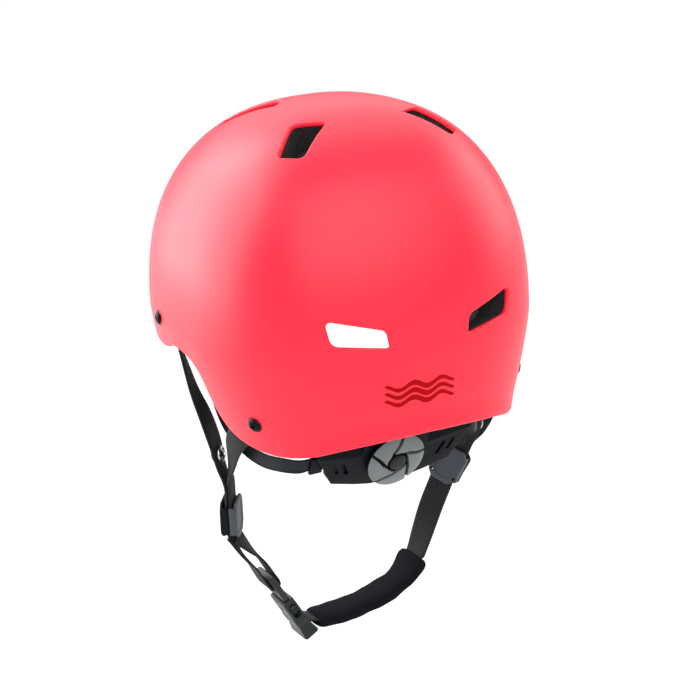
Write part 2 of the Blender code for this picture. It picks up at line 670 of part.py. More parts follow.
def blade_outline(start):
    """One blade of the pinwheel: its leading and trailing edges follow the same bent groove."""
    groove = [(6.4, 50), (9.5, 24), (13.5, 7), (DIAL_RADIUS / MM, 0)]
    margin = 0.65
    leading = [(r, start + a + math.degrees(margin / r)) for r, a in groove]
    trailing = [(r, start + 360 / BLADES + a - math.degrees(margin / r)) for r, a in groove]
    rim = [(DIAL_RADIUS / MM, float(a)) for a in np.linspace(leading[-1][1], trailing[-1][1], 9)]
    hub = [(groove[0][0], float(a)) for a in np.linspace(trailing[0][1], leading[0][1], 4)]
    ring = leading[:-1] + rim + trailing[1:-1][::-1] + hub[:-1]
    return [(r * math.cos(math.radians(a)), r * math.sin(math.radians(a))) for r, a in ring]


def make_dial(parent):
    """The knob: a dark core on the pinion's shaft, with grey blades and a plain cap moulded over it."""
    upright = across_y(0)
    turned("dial_core", [(0, 0.2), (17.8, 0.2), (18.4, -0.4), (18.4, -2.4), (2.5, -2.4), (2.5, -11.9), (0, -11.9)],
           "plastic_black", upright, parent, steps=30)
    for k in range(BLADES):
        blade = prism(f"dial_blade_{k + 1}", blade_outline(48 + 360 / BLADES * k), 1.4, "dial_grey",
                      across_y(1.9), parent)
        soften(blade, 0.5 * MM, 1)
    turned("dial_cap", [(0, 3.4), (3.6, 3.2), (4.6, 2.4), (4.6, 0.5), (0, 0.5)], "gloss_black", upright, parent)
    teeth = []
    for k in range(PINION_TEETH):
        for radius, share in ((PINION_TIP / MM, -0.18), (PINION_TIP / MM, 0.18), (3.4, 0.32), (3.4, 0.68)):
            angle = 2 * math.pi * (k + share) / PINION_TEETH
            teeth.append((radius * math.cos(angle), radius * math.sin(angle)))
    pinion = prism("dial_pinion", teeth, 1.2, "plastic_slate", across_y(-8.4), parent)
    cut(pinion, turned("pinion_bore", [(0, 9), (2.8, 9), (2.8, -20), (0, -20)], "plastic_slate",
                       upright, parent))
    turned("axle_clip", [(2.8, -10.4), (4.6, -10.4), (4.6, -11.4), (2.8, -11.4)], "steel", upright, parent)


# ---- bands from the temples to the cradle --------------------------------------------------------
LEFT_BAND = [((55.4, 46.6, -76.9), (0, 0.93, -0.37)), ((61.5, 44.5, -76.9), (0.4, 0.9, -0.2)),
             ((67.5, 36.5, -77), (0.75, 0.66, 0)), ((73, 22.5, -77.3), (0.92, 0.4, 0)),
             ((76.8, 7, -74.4), (0.97, 0.24, 0)), ((79.5, -9, -67.5), (1, 0.1, 0)),
             ((81, -22, -55), (1, 0, 0)), ((81.8, -32, -36), (0.98, -0.2, 0)),
             ((81.4, -38.5, -14), (0.95, -0.3, 0)), ((80.6, -40.5, 6), (0.94, -0.34, 0))]


def make_bands():
    """Flexible bands, each held to the foam at the temple by a push-in plug."""
    foam = bpy.data.objects["foam_liner"]
    for side, listed in (("left", LEFT_BAND), ("right", mirrored(LEFT_BAND))):
        run = [(over_girth(centre), Vector(normal).normalized()) for centre, normal in listed]
        band = ribbon(side + "_band", run, 9 * MM, 1.6 * MM, "band_slate", 2)
        place = run[-1][0] - (run[-1][0] - run[-2][0]).normalized() * 5 * MM
        matrix = frame_matrix(place, run[-1][1], (0, 0, 1))
        turned(side + "_band_plug", [(0, 11), (1.8, 10.5), (2.2, 9), (2.2, -1.3), (4.2, -1.3), (4.2, -2.6),
                                     (0, -2.6)], "plastic_black", matrix, steps=16)
        bore = turned(side + "_plug_bore", [(0, 13), (2.6, 13), (2.6, -5), (0, -5)], "plastic_black",
                      matrix, steps=12)
        cut(band, bore)
        cut_again(foam, bore)


clear_scene()
PARTS = collection("water_helmet")
CUTTERS = collection("cutters")
make_shell_and_harness()
make_pads()
make_dividers()
make_lower_straps()
make_chin_pad()
make_buckle()
CRADLE = cradle_frame()
make_cradle(CRADLE)
make_racks(CRADLE)
make_dial(CRADLE)
make_bands()
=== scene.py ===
"""Looks of the water helmet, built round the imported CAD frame.

Metres, +Z up, -Y the wearer's front, +X the wearer's left.  The shell, liner, webbing, dial,
cradle and buckle are rebuilt here as fine surfaces on the same driving dimensions as the CAD.
"""
import json
import math

import bmesh
import bpy
import numpy as np
from mathutils import Matrix, Vector
from mathutils.bvhtree import BVHTree


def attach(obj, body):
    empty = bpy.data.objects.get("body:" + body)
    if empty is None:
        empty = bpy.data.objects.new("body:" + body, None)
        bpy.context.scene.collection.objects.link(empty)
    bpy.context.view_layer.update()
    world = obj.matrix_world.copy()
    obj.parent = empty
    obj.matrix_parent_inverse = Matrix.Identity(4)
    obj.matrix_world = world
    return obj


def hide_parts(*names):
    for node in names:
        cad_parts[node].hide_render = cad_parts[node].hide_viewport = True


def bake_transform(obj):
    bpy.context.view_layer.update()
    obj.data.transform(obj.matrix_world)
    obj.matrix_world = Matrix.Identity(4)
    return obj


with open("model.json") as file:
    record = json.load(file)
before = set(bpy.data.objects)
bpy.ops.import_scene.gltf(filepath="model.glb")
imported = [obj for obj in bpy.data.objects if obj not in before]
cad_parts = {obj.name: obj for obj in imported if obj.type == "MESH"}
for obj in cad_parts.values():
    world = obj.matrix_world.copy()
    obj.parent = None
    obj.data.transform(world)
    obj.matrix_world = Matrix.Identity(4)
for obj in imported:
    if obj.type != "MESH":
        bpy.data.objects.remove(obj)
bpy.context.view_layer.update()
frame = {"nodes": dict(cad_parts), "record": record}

MM = 0.001

# ---- dimensions shared with the CAD ----
HALF_WIDTH = 108 * MM
FRONT_REACH = 151.5 * MM
REAR_REACH = 100 * MM
DOME_HEIGHT = 129.6 * MM
SIDES = ("left", "right")
PLAN_POWER = 2.36
SIDE_POWER = 2.36
LONG_POWER = 2.22
SHELL_WALL = 2.5 * MM
FOAM_GAP = 0.8 * MM
FOAM_WALL = 18 * MM
FOAM_LIFT = 6 * MM
GIRTH_Z = -101.3 * MM
TAPER_DEPTH = 90 * MM
TAPER_POWER = 1.34
WALL_TAPER = [(-90, 0.072), (-45, 0.148), (0, 0.273), (45, 0.157), (90, 0.094)]
RIM = [(-90, -14), (-70, -16), (-50, -18.5), (-33, -19), (-24, -17), (-16, -12), (-9, -11.5),
       (-3, -13.5), (1, -18), (3.5, -24), (5.5, -35), (8.5, -46), (14, -54), (24, -59.5),
       (36, -61.5), (48, -59.5), (60, -55), (74, -52), (90, -50.6)]
VENTS = {
    "rear": [(54.6, 24.3, 2.5), (74, 15.6, 4.5), (75, 5, 1.3), (56.6, 9.5, 6)],
    "brow": [(-57, 39, 2.5), (-71, 31, 4.5), (-72, 20.5, 1.3), (-58.5, 24.5, 6)],
    "crown_rear": [(41.5, 18, 4), (25.5, 29.5, 1.5), (49.4, 45.8, 5), (59.3, 34.6, 1.8)],
    "crown_front": [(30.8, -24.3, 2), (20.5, -38, 4.5), (44.5, -68.5, 2), (54, -59.6, 4.5)],
}
VENT_LEAN = {"rear": Vector((0.42, 0.86, 0.28)), "brow": Vector((0.35, -0.9, 0.1))}
WEB_WIDTH = 16 * MM
WEB_THICK = 1.5 * MM
ANCHORS = {"front": (-25.0, 0.2), "rear": (28.4, -43.0)}  # bearing and height of each screw
ANCHOR_DEPTH = 4.8 * MM
DIVIDERS = {"left": ((79, -16.5, -125), (-0.14, 0.02, -0.99), (0.8, -0.6, 0)),
            "right": ((-79, -16.5, -125), (0.42, -0.2, -0.885), (-0.74, -0.6, -0.2))}
LAYER = 1.25
DIAL_CENTRE = (0, 53.5, -82.6)
DIAL_TILT = math.radians(-22)
DIAL_RADIUS = 19.2
BLADES = 5
BUCKLE_CENTRE = (46.5, -15, -191)
BUCKLE_AXIS = Vector((-0.506, 0, -0.862)).normalized()
BUCKLE_OUT = Vector((0.862, 0, -0.506)).normalized()

# ---- looks ----
VENT_LIP = 1.5 * MM            # radius of the rounded edge of each vent
LIP_FLARE = 1.3 * MM           # how far the shell's rear edge turns outwards
LIP_HEIGHT = 13 * MM
MARK_CENTRE = (6.7, -24.5)     # generic mark at the back: across and over the girth, mm
MARK_WIDTH = 46
RIB_PITCH = 1.4 * MM           # webbing ribs
RIB_HEIGHT = 0.2               # as a share of the webbing's thickness
PLUG_BORE = (2.6, 13, -5)      # radius, top and bottom of the hole for a band's plug
HOUSING_DEPTH = -7.6           # middle of the cradle's moulding, from the dial's seat
RACK_DEPTH = -8.4
NEAR_FACE = 0.0002             # a cut face this near the uncut surface may lie on it
NEAR_CORNER = 0.00002          # a corner this near does lie on it
SAME_FACING = 0.995


def over_girth(point):
    """Millimetres from the girth centre to metres from the seat."""
    return Vector(point) * MM + Vector((0, 0, GIRTH_Z))


def placed(listed, sign=1):
    """(place, normal) stations from numbers over the girth; sign -1 mirrors them."""
    return [(over_girth((x * sign, y, z)), Vector((nx * sign, ny, nz)).normalized())
            for (x, y, z), (nx, ny, nz) in listed]


def turned(matrix, degrees, axis):
    return matrix @ Matrix.Rotation(math.radians(degrees), 4, axis)


def shifted(matrix, x, y, z):
    """The frame moved along its own axes, in millimetres."""
    return matrix @ Matrix.Translation(Vector((x, y, z)) * MM)


# ---- meshes ----
def linked(name, data):
    """A new object in the scene."""
    made = bpy.data.objects.new(name, data)
    bpy.context.scene.collection.objects.link(made)
    return made


def add_object(name, verts, faces, angle=35):
    mesh = bpy.data.meshes.new(name)
    mesh.from_pydata([tuple(v) for v in verts], [], [tuple(f) for f in faces])
    mesh.update()
    made = linked(name, mesh)
    face_out(made)
    shade(made, angle)
    return made


def face_out(made):
    bm = bmesh.new()
    bm.from_mesh(made.data)
    bmesh.ops.recalc_face_normals(bm, faces=bm.faces)
    bm.to_mesh(made.data)
    bm.free()


def shade(made, angle=35):
    made.data.shade_smooth()
    made.data.set_sharp_from_angle(angle=math.radians(angle))


def from_bmesh(name, bm, matrix=None):
    mesh = bpy.data.meshes.new(name)
    bmesh.ops.recalc_face_normals(bm, faces=bm.faces)
    bm.to_mesh(mesh)
    bm.free()
    made = linked(name, mesh)
    if matrix is not None:
        made.matrix_world = matrix
    return made


def settle(made, angle=35):
    """Apply an object's modifiers and transform, and shade it."""
    bpy.context.view_layer.update()
    graph = bpy.context.evaluated_depsgraph_get()
    mesh = bpy.data.meshes.new_from_object(made.evaluated_get(graph))
    mesh.transform(made.matrix_world)
    made.modifiers.clear()
    made.data = mesh
    made.matrix_world = Matrix.Identity(4)
    shade(made, angle)
    return made


def combine(target, pieces, operation):
    """Boolean with several pieces, which are then removed."""
    for piece in pieces:
        modifier = target.modifiers.new(piece.name, "BOOLEAN")
        modifier.operation = operation
        modifier.object = piece
    settle(target)
    for piece in pieces:
        bpy.data.objects.remove(piece, do_unlink=True)
    return target


def cut(target, *pieces):
    return combine(target, pieces, "DIFFERENCE")


def join(target, *pieces):
    return combine(target, pieces, "UNION")


def soften(made, width, segments=3, angle=35):
    """Round the edges, width in millimetres."""
    modifier = made.modifiers.new("edges", "BEVEL")
    modifier.width = width * MM
    modifier.segments = segments
    modifier.limit_method = "ANGLE"
    modifier.angle_limit = math.radians(angle)
    modifier.harden_normals = False
    return settle(made)


def strip_faces(rows, columns, wrap):
    """Quads between rows of points, each row columns long."""
    last = columns if wrap else columns - 1
    return [(r * columns + c, r * columns + (c + 1) % columns,
             (r + 1) * columns + (c + 1) % columns, (r + 1) * columns + c)
            for r in range(rows - 1) for c in range(last)]


def tube_faces(rows, columns, loop=False):
    """Faces of a skin over rings of points, whose ends are capped or joined to each other."""
    faces = strip_faces(rows, columns, True)
    first = (rows - 1) * columns
    if loop:
        return faces + [(first + c, first + (c + 1) % columns, (c + 1) % columns, c)
                        for c in range(columns)]
    return faces + [tuple(range(columns - 1, -1, -1)), tuple(range(first, first + columns))]


def tube(name, rings, angle=35, loop=False):
    verts = [point for ring in rings for point in ring]
    return add_object(name, verts, tube_faces(len(rings), len(rings[0]), loop), angle)


def lathe(name, profile, matrix, steps=64, angle=35):
    """A turned solid from (radius, height) in millimetres; it closes on the axis or on itself."""
    on_axis = profile[0][0] == 0
    verts, faces, rings = [], [], []
    for radius, height in profile:
        count = 1 if radius == 0 else steps
        rings.append(range(len(verts), len(verts) + count))
        for k in range(count):
            turn = 2 * math.pi * k / steps
            spot = Vector((radius * math.cos(turn), radius * math.sin(turn), height)) * MM
            verts.append(matrix @ spot)
    pairs = list(zip(rings, rings[1:])) + ([] if on_axis else [(rings[-1], rings[0])])
    for first, second in pairs:
        for k in range(steps):
            ahead = (k + 1) % steps
            corners = [first[k % len(first)], first[ahead % len(first)],
                       second[ahead % len(second)], second[k % len(second)]]
            face = list(dict.fromkeys(corners))
            if len(face) > 2:
                faces.append(face)
    return add_object(name, verts, faces, angle)


def drill(name, radius, top, bottom, matrix, steps):
    """A plain cylinder between two heights in millimetres, used as a cutter."""
    return lathe(name, [(0, top), (radius, top), (radius, bottom), (0, bottom)], matrix, steps)


def block(name, size, centre, matrix, bevel=0.0, segments=3):
    """A box, sizes in millimetres of its own frame; bevel rounds its edges."""
    bm = bmesh.new()
    bmesh.ops.create_cube(bm, size=1.0)
    for vert in bm.verts:
        vert.co = Vector((vert.co[i] * size[i] + centre[i] for i in range(3))) * MM
    made = from_bmesh(name, bm, matrix)
    if bevel:
        return soften(made, bevel, segments)
    return settle(made)


def prism(name, outline, low, high, matrix):
    """A flat outline (x, y) in millimetres, from height low to height high."""
    rings = [[matrix @ (Vector((x, y, height)) * MM) for x, y in outline] for height in (low, high)]
    return tube(name, rings)


def rounded(corners, steps=6):
    """Round the corners (x, y, radius) of an outline with arcs."""
    outline = []
    count = len(corners)
    for i, (x, y, radius) in enumerate(corners):
        here = Vector((x, y))
        back = (Vector(corners[i - 1][:2]) - here).normalized()
        ahead = (Vector(corners[(i + 1) % count][:2]) - here).normalized()
        half = back.angle(ahead) / 2
        reach = radius / math.tan(half)
        centre = here + (back + ahead).normalized() * (radius / math.sin(half))
        start = here + back * reach - centre
        end = here + ahead * reach - centre
        sweep = start.angle_signed(end)
        for k in range(steps + 1):
            spoke = start.copy()
            spoke.rotate(Matrix.Rotation(-sweep * k / steps, 2))
            outline.append(tuple(centre + spoke))
    return outline


def divided(outline, longest):
    """The outline with points added so that no side is longer than this."""
    dense = []
    for here, ahead in zip(outline, outline[1:] + outline[:1]):
        count = max(1, math.ceil(math.dist(here, ahead) / longest))
        dense += [tuple(np.array(here) + (np.array(ahead) - here) * k / count)
                  for k in range(count)]
    return dense


def frame_matrix(origin, out, along):
    """A frame with Z along out and X as near to along as it can be."""
    z_axis = Vector(out).normalized()
    x_axis = (Vector(along) - z_axis * z_axis.dot(Vector(along))).normalized()
    y_axis = z_axis.cross(x_axis)
    turn = Matrix((x_axis, y_axis, z_axis)).transposed().to_4x4()
    return Matrix.Translation(Vector(origin)) @ turn


def smooth_path(points, spans):
    """Points on a Catmull-Rom curve through the given ones."""
    known = [Vector(point) for point in points]
    known = [known[0] * 2 - known[1]] + known + [known[-1] * 2 - known[-2]]
    path = []
    for p0, p1, p2, p3 in zip(known, known[1:], known[2:], known[3:]):
        for k in range(spans):
            t = k / spans
            path.append(0.5 * (2 * p1 + (p2 - p0) * t + (2 * p0 - 5 * p1 + 4 * p2 - p3) * t ** 2
                               + (3 * p1 - p0 - 3 * p2 + p3) * t ** 3))
    path.append(known[-2])
    return path


def put(made, body, slot, paint, *nodes):
    """Give a piece its material, the CAD nodes that it stands for, and a body if it has one; slot
    is not used."""
    made.data.materials.clear()
    made.data.materials.append(paint)
    if nodes:
        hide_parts(*nodes)
    if body:
        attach(made, body)
    return made


# ---- materials ----
class Paint:
    """A node material, built step by step around one Principled shader."""

    def __init__(self, name, colour, roughness, **settings):
        self.material = bpy.data.materials.new(name)
        self.material.use_nodes = True
        self.tree = self.material.node_tree
        self.shader = self.tree.nodes["Principled BSDF"]
        self.shader.inputs["Base Color"].default_value = (*colour, 1)
        self.shader.inputs["Roughness"].default_value = roughness
        for key, value in settings.items():
            self.shader.inputs[key.replace("_", " ")].default_value = value
        self.place = self.node("ShaderNodeTexCoord").outputs["Object"]

    def node(self, kind, **inputs):
        made = self.tree.nodes.new(kind)
        for key, value in inputs.items():
            self.feed(made.inputs[key.replace("_", " ")], value)
        return made

    def feed(self, socket, value):
        if isinstance(value, bpy.types.NodeSocket):
            self.tree.links.new(value, socket)
        else:
            socket.default_value = value

    def maths(self, operation, first, second=0.0):
        made = self.tree.nodes.new("ShaderNodeMath")
        made.operation = operation
        self.feed(made.inputs[0], first)
        self.feed(made.inputs[1], second)
        return made.outputs[0]

    def noise(self, scale, detail=4.0, roughness=0.5, vector=None):
        return self.node("ShaderNodeTexNoise", Vector=vector or self.place, Scale=scale,
                         Detail=detail, Roughness=roughness).outputs["Fac"]

    def ramp(self, fac, low, high):
        """Map 0..1 onto low..high."""
        made = self.node("ShaderNodeMapRange", Value=fac, To_Min=low, To_Max=high)
        return made.outputs["Result"]

    def between(self, fac, first, second):
        """Mix two colours."""
        made = self.tree.nodes.new("ShaderNodeMix")
        made.data_type = "RGBA"
        self.feed(made.inputs["Factor"], fac)
        for socket, value in ((made.inputs[6], first), (made.inputs[7], second)):
            self.feed(socket, (*value, 1) if isinstance(value, tuple) else value)
        return made.outputs[2]

    def colour(self, fac, first, second):
        self.feed(self.shader.inputs["Base Color"], self.between(fac, first, second))

    def rough(self, fac, low, high):
        self.feed(self.shader.inputs["Roughness"], self.ramp(fac, low, high))

    def bump(self, height, depth, strength=1.0):
        """Bump from a 0..1 height; depth in metres.  Later bumps add to earlier ones."""
        made = self.node("ShaderNodeBump", Height=height, Distance=depth, Strength=strength)
        normal = self.shader.inputs["Normal"]
        if normal.links:
            self.tree.links.new(normal.links[0].from_socket, made.inputs["Normal"])
        self.tree.links.new(made.outputs["Normal"], normal)


def shell_paint():
    paint = Paint("shell_satin", (0.98, 0.012, 0.036), 0.42, Specular_IOR_Level=0.35,
                  Coat_Weight=0.15, Coat_Roughness=0.35)
    cloud = paint.noise(14, 3)
    paint.colour(cloud, (0.97, 0.0115, 0.034), (1.0, 0.0135, 0.04))
    paint.rough(paint.noise(60, 5), 0.38, 0.46)
    paint.bump(paint.noise(1700, 2), 0.00002)
    paint.bump(paint.noise(220, 2), 0.00004, 0.5)
    return paint.material


def moulded(name, colour, roughness=0.45, grain=2600, depth=0.00004, lighter=1.25, specular=0.4):
    """Moulded plastic: spark-eroded grain, faint cloudiness and scuffed patches of gloss."""
    paint = Paint(name, colour, roughness, Specular_IOR_Level=specular)
    cloud = paint.noise(90, 4)
    paint.colour(cloud, tuple(c * 0.9 for c in colour), tuple(c * lighter for c in colour))
    paint.rough(paint.noise(240, 5, 0.6), roughness - 0.07, roughness + 0.09)
    paint.bump(paint.noise(grain, 3, 0.6), depth)
    return paint.material


def webbing_paint():
    """Ribbed polyester webbing: ribs and the threads' slant on each rib, with painted shade in the
    grooves between the ribs and between the threads.
    """
    paint = Paint("webbing_rib", (0.01, 0.01, 0.012), 0.75, Sheen_Weight=0.06, Sheen_Roughness=0.45,
                  Specular_IOR_Level=0.25)
    along = paint.node("ShaderNodeAttribute")
    along.attribute_name = "web_along"
    across = paint.node("ShaderNodeAttribute")
    across.attribute_name = "web_across"
    turn = paint.maths("MULTIPLY", along.outputs["Fac"], 2 * math.pi / RIB_PITCH)
    # Painted shade: lighter on each rib's crest, darker in the groove between ribs.
    rib = paint.ramp(paint.maths("COSINE", turn), -0.6, 1.0)
    lean = paint.maths("MULTIPLY", across.outputs["Fac"], 2 * math.pi / (1.1 * MM))
    # The thread's slant is a bump and also painted shade: lighter where the thread stands higher.
    thread = paint.maths("SINE", paint.maths("ADD", lean, paint.maths("MULTIPLY", turn, 0.5)))
    thread = paint.ramp(thread, 0.35, 0.65)
    fuzz = paint.noise(3200, 3, 0.7)
    # Colour: the painted shade of ribs and threads, times a random fuzz of tone.
    groove_shade_and_fuzz = paint.maths("MULTIPLY", paint.maths("ADD", rib, thread), fuzz)
    paint.colour(groove_shade_and_fuzz, (0.0015, 0.0015, 0.0018), (0.042, 0.043, 0.048))
    paint.rough(fuzz, 0.62, 0.9)
    paint.bump(thread, 0.00006, 0.8)
    paint.bump(fuzz, 0.00005, 0.7)
    return paint.material


def pad_paint():
    """Brushed knit over foam."""
    paint = Paint("pad_knit", (0.004, 0.004, 0.006), 0.95, Specular_IOR_Level=0.1)
    knit = paint.node("ShaderNodeTexVoronoi", Vector=paint.place, Scale=900.0).outputs["Distance"]
    fuzz = paint.noise(2600, 4, 0.7)
    paint.colour(fuzz, (0.002, 0.002, 0.003), (0.009, 0.009, 0.013))
    paint.bump(knit, 0.00018, 0.5)
    paint.bump(fuzz, 0.00012, 0.6)
    paint.bump(paint.noise(120, 3), 0.0004, 0.5)
    return paint.material


def foam_paint():
    """Moulded bead foam: rounded cells, with painted shade darkening the seams between them."""
    paint = Paint("foam_bead", (0.018, 0.018, 0.019), 0.85)
    cells = paint.node("ShaderNodeTexVoronoi", Vector=paint.place, Scale=330.0)
    # Painted shade: the colour darkens from each bead's crown to the seams, where the bump sinks.
    paint.colour(cells.outputs["Distance"], (0.03, 0.03, 0.032), (0.008, 0.008, 0.009))
    paint.rough(paint.noise(500, 3), 0.75, 0.95)
    paint.bump(paint.maths("SUBTRACT", 1.0, cells.outputs["Distance"]), 0.0003, 0.6)
    return paint.material


def metal_paint(name, colour, roughness):
    paint = Paint(name, colour, roughness, Metallic=1.0)
    paint.rough(paint.noise(900, 4), roughness - 0.05, roughness + 0.1)
    paint.bump(paint.noise(2400, 3), 0.00001)
    return paint.material


def gloss_paint():
    paint = Paint("cap_gloss", (0.004, 0.004, 0.005), 0.1, Specular_IOR_Level=0.25)
    paint.rough(paint.noise(400, 4), 0.06, 0.16)
    return paint.material


def print_paint():
    """Pad-printed ink, a darker red than the shell."""
    paint = Paint("print_ink", (0.4, 0.002, 0.002), 0.6, Specular_IOR_Level=0.05)
    paint.colour(paint.noise(1300, 4), (0.31, 0.002, 0.002), (0.37, 0.0028, 0.003))
    return paint.material


PAINTS = {
    "shell": shell_paint(),
    "foam": foam_paint(),
    "pad": pad_paint(),
    "webbing": webbing_paint(),
    "black_plastic": moulded("plastic_black", (0.004, 0.005, 0.007), 0.5, specular=0.1),
    "slate_plastic": moulded("plastic_slate", (0.05, 0.054, 0.067), 0.5, lighter=1.15,
                             specular=0.3),
    "dial_grey": moulded("plastic_dial", (0.15, 0.165, 0.168), 0.42, grain=3000, lighter=1.1),
    "gloss_black": gloss_paint(),
    "band": moulded("plastic_band", (0.010, 0.0125, 0.017), 0.5, specular=0.2),
    "steel": metal_paint("steel_bright", (0.62, 0.6, 0.57), 0.22),
    "black_steel": metal_paint("steel_black", (0.014, 0.014, 0.016), 0.32),
    "buckle": moulded("plastic_buckle", (0.012, 0.015, 0.016), 0.38, lighter=1.2, specular=0.3),
}
INK = print_paint()


# ---- the shell's form ----
def smooth_step(x):
    x = np.clip(x, 0, 1)
    return x * x * (3 - 2 * x)


def rim_curve():
    """(bearing, height) along the rim from the front, round the left side, to the front."""
    half = smooth_path([(bearing, height, 0) for bearing, height in RIM], 12)
    loop = [(math.radians(p.x), p.y * MM) for p in half]
    return np.array(loop + [(math.pi - bearing, height) for bearing, height in reversed(loop[:-1])])


RIM_CURVE = rim_curve()


def skin(bearing, height, inset=0.0):
    """Points of the shell's form, as an array; height is over the girth."""
    bearing, height = np.broadcast_arrays(np.asarray(bearing, float), np.asarray(height, float))
    cos, sin = np.abs(np.cos(bearing)), np.sin(bearing)
    reach = np.where(sin > 0, REAR_REACH, FRONT_REACH) - inset
    plan = ((cos / (HALF_WIDTH - inset)) ** PLAN_POWER + (np.abs(sin) / reach) ** PLAN_POWER)
    radius = plan ** (-1 / PLAN_POWER)
    power = SIDE_POWER * cos ** 2 + LONG_POWER * sin ** 2
    level = np.clip(height / (DOME_HEIGHT - inset), 0, 1)
    above = (1 - level ** power) ** (1 / power)
    folded = np.degrees(np.arcsin(np.clip(sin, -1, 1)))
    taper = np.interp(folded, *zip(*WALL_TAPER))
    below = 1 - taper * (np.maximum(-height, 0) / TAPER_DEPTH) ** TAPER_POWER
    radius = radius * np.where(height > 0, above, below)
    wrapped = np.mod(bearing + math.pi / 2, 2 * math.pi) - math.pi / 2
    rim = np.interp(wrapped, RIM_CURVE[:, 0], RIM_CURVE[:, 1])
    low = smooth_step(1 - (height - rim) / LIP_HEIGHT) ** 1.5
    radius = radius + LIP_FLARE * low * smooth_step((sin - 0.45) / 0.35)
    return np.stack([radius * np.cos(bearing), radius * np.sin(bearing), GIRTH_Z + height], -1)


def spot(bearing, height, inset=0.0):
    return Vector(skin(bearing, height, inset).tolist())


def spot_normal(bearing, height):
    step = 0.01
    side = spot(bearing + step, height) - spot(bearing - step, height)
    rise = spot(bearing, height + MM) - spot(bearing, height - MM)
    return side.cross(rise).normalized()


def height_over(x, y):
    """Height over the girth of the dome above a plan position."""
    bearing = math.atan2(y, x)
    cos, sin = abs(math.cos(bearing)), math.sin(bearing)
    reach = spot(bearing, 0.0)
    power = SIDE_POWER * cos ** 2 + LONG_POWER * sin ** 2
    level = (math.hypot(x, y) / math.hypot(reach.x, reach.y)) ** power
    return DOME_HEIGHT * (1 - level) ** (1 / power)


def dome_rows(columns, upper, lower, inset, lift):
    """Rows of points from near the crown to the edge, evenly spaced along the edge."""
    places = skin(RIM_CURVE[:, 0], RIM_CURVE[:, 1])
    run = np.concatenate([[0], np.cumsum(np.linalg.norm(np.diff(places, axis=0), axis=1))])
    wanted = np.arange(columns) * run[-1] / columns
    bearing = np.interp(wanted, run, RIM_CURVE[:, 0])
    rim = np.interp(wanted, run, RIM_CURVE[:, 1]) + lift
    even = -math.pi / 2 + 2 * math.pi * np.arange(columns) / columns
    rows = []
    for k in range(upper - 1, -1, -1):
        share = (1 - k / upper) ** 1.5
        height = (DOME_HEIGHT - inset) * math.sin(k / upper * math.pi / 2)
        rows.append(skin(even + (bearing - even) * share, height, inset))
    for k in range(1, lower + 1):
        rows.append(skin(bearing, rim * k / lower, inset))
    return rows


def dome(name, columns, upper, lower, inset, wall, lift, edge_round):
    """A closed dome of even wall, its edge rounded."""
    outer = dome_rows(columns, upper, lower, inset, lift)
    inner = dome_rows(columns, upper, lower, inset + wall, lift)
    edge_out, edge_in = outer[-1], inner[-1]
    along = np.roll(edge_out, -1, 0) - np.roll(edge_out, 1, 0)
    through = edge_in - edge_out
    down = np.cross(along, through)
    down /= np.linalg.norm(down, axis=1)[:, None]
    down *= np.sign(-down[0, 2])
    edge = []
    for k in range(1, 6):
        turn = math.pi * k / 6
        edge.append(edge_out + through * (1 - math.cos(turn)) / 2
                    + down * edge_round * math.sin(turn))
    rows = outer + edge + inner[::-1]
    verts = [Vector((0, 0, GIRTH_Z + DOME_HEIGHT - inset))]
    verts += [point for row in rows for point in row]
    verts.append(Vector((0, 0, GIRTH_Z + DOME_HEIGHT - inset - wall)))
    faces = [tuple(i + 1 for i in face) for face in strip_faces(len(rows), columns, True)]
    last = len(verts) - 1
    for c in range(columns):
        ahead = (c + 1) % columns
        faces.append((0, ahead + 1, c + 1))
        faces.append((last, last - columns + c, last - columns + ahead))
    return add_object(name, verts, faces)


def tree_of(made):
    return BVHTree.FromPolygons([v.co for v in made.data.vertices],
                                [p.vertices for p in made.data.polygons])


def vent_cutter(kind, side, tree, grow, lip):
    """A prism through the wall at a vent that widens to a rounded lip at the surface."""
    corners = []
    for first, second, radius in VENTS[kind]:
        if kind.startswith("crown"):
            x, y = first * MM, second * MM
            place = Vector((x, y, GIRTH_Z + height_over(x, y)))
        else:
            place = spot(math.radians(first), second * MM)
        corners.append((place, radius))
    middle = sum((place for place, radius in corners), Vector()) / len(corners)
    lean = VENT_LEAN.get(kind) or spot_normal(math.atan2(middle.y, middle.x), middle.z - GIRTH_Z)
    matrix = frame_matrix(middle, lean, corners[1][0] - corners[0][0])
    flat = [(matrix.inverted() @ place, radius) for place, radius in corners]
    shape = []
    for place, radius in flat:
        away = Vector((place.x, place.y)).normalized() * grow
        shape.append((place.x / MM + away.x, place.y / MM + away.y, radius + grow * 0.5))
    outline = np.array(divided(rounded(shape, 8), 1.2)) * MM
    ahead = np.roll(outline, -1, 0) - np.roll(outline, 1, 0)
    out = np.stack([ahead[:, 1], -ahead[:, 0]], 1)
    out /= np.linalg.norm(out, axis=1)[:, None]
    out *= np.sign((out * outline).sum())
    if side == "right":
        matrix = Matrix.Diagonal((-1, 1, 1, 1)) @ matrix
    lean = matrix.to_3x3() @ Vector((0, 0, 1))
    arcs = [(0.0, lip)]
    for turn in map(math.radians, (15, 30, 45, 60, 72)):
        arcs.append((lip * (1 - math.cos(turn)), lip * (1 - math.sin(turn))))
    reach, depth = arcs[-1]
    arcs.append((reach + 1.2 * MM, depth - 0.37 * MM))
    rings = [[matrix @ Vector((*point, -34 * MM)) for point in outline]]
    for reach, depth in arcs:
        ring = []
        for point in outline + out * reach:
            start = matrix @ Vector((*point, 60 * MM))
            hit = tree.ray_cast(start, -lean)[0]
            ring.append(hit - lean * depth)
        rings.append(ring)
    rings.append([matrix @ Vector((*point, 25 * MM)) for point in outline + out * reach])
    return tube(f"vent_{kind}_{side}", rings)


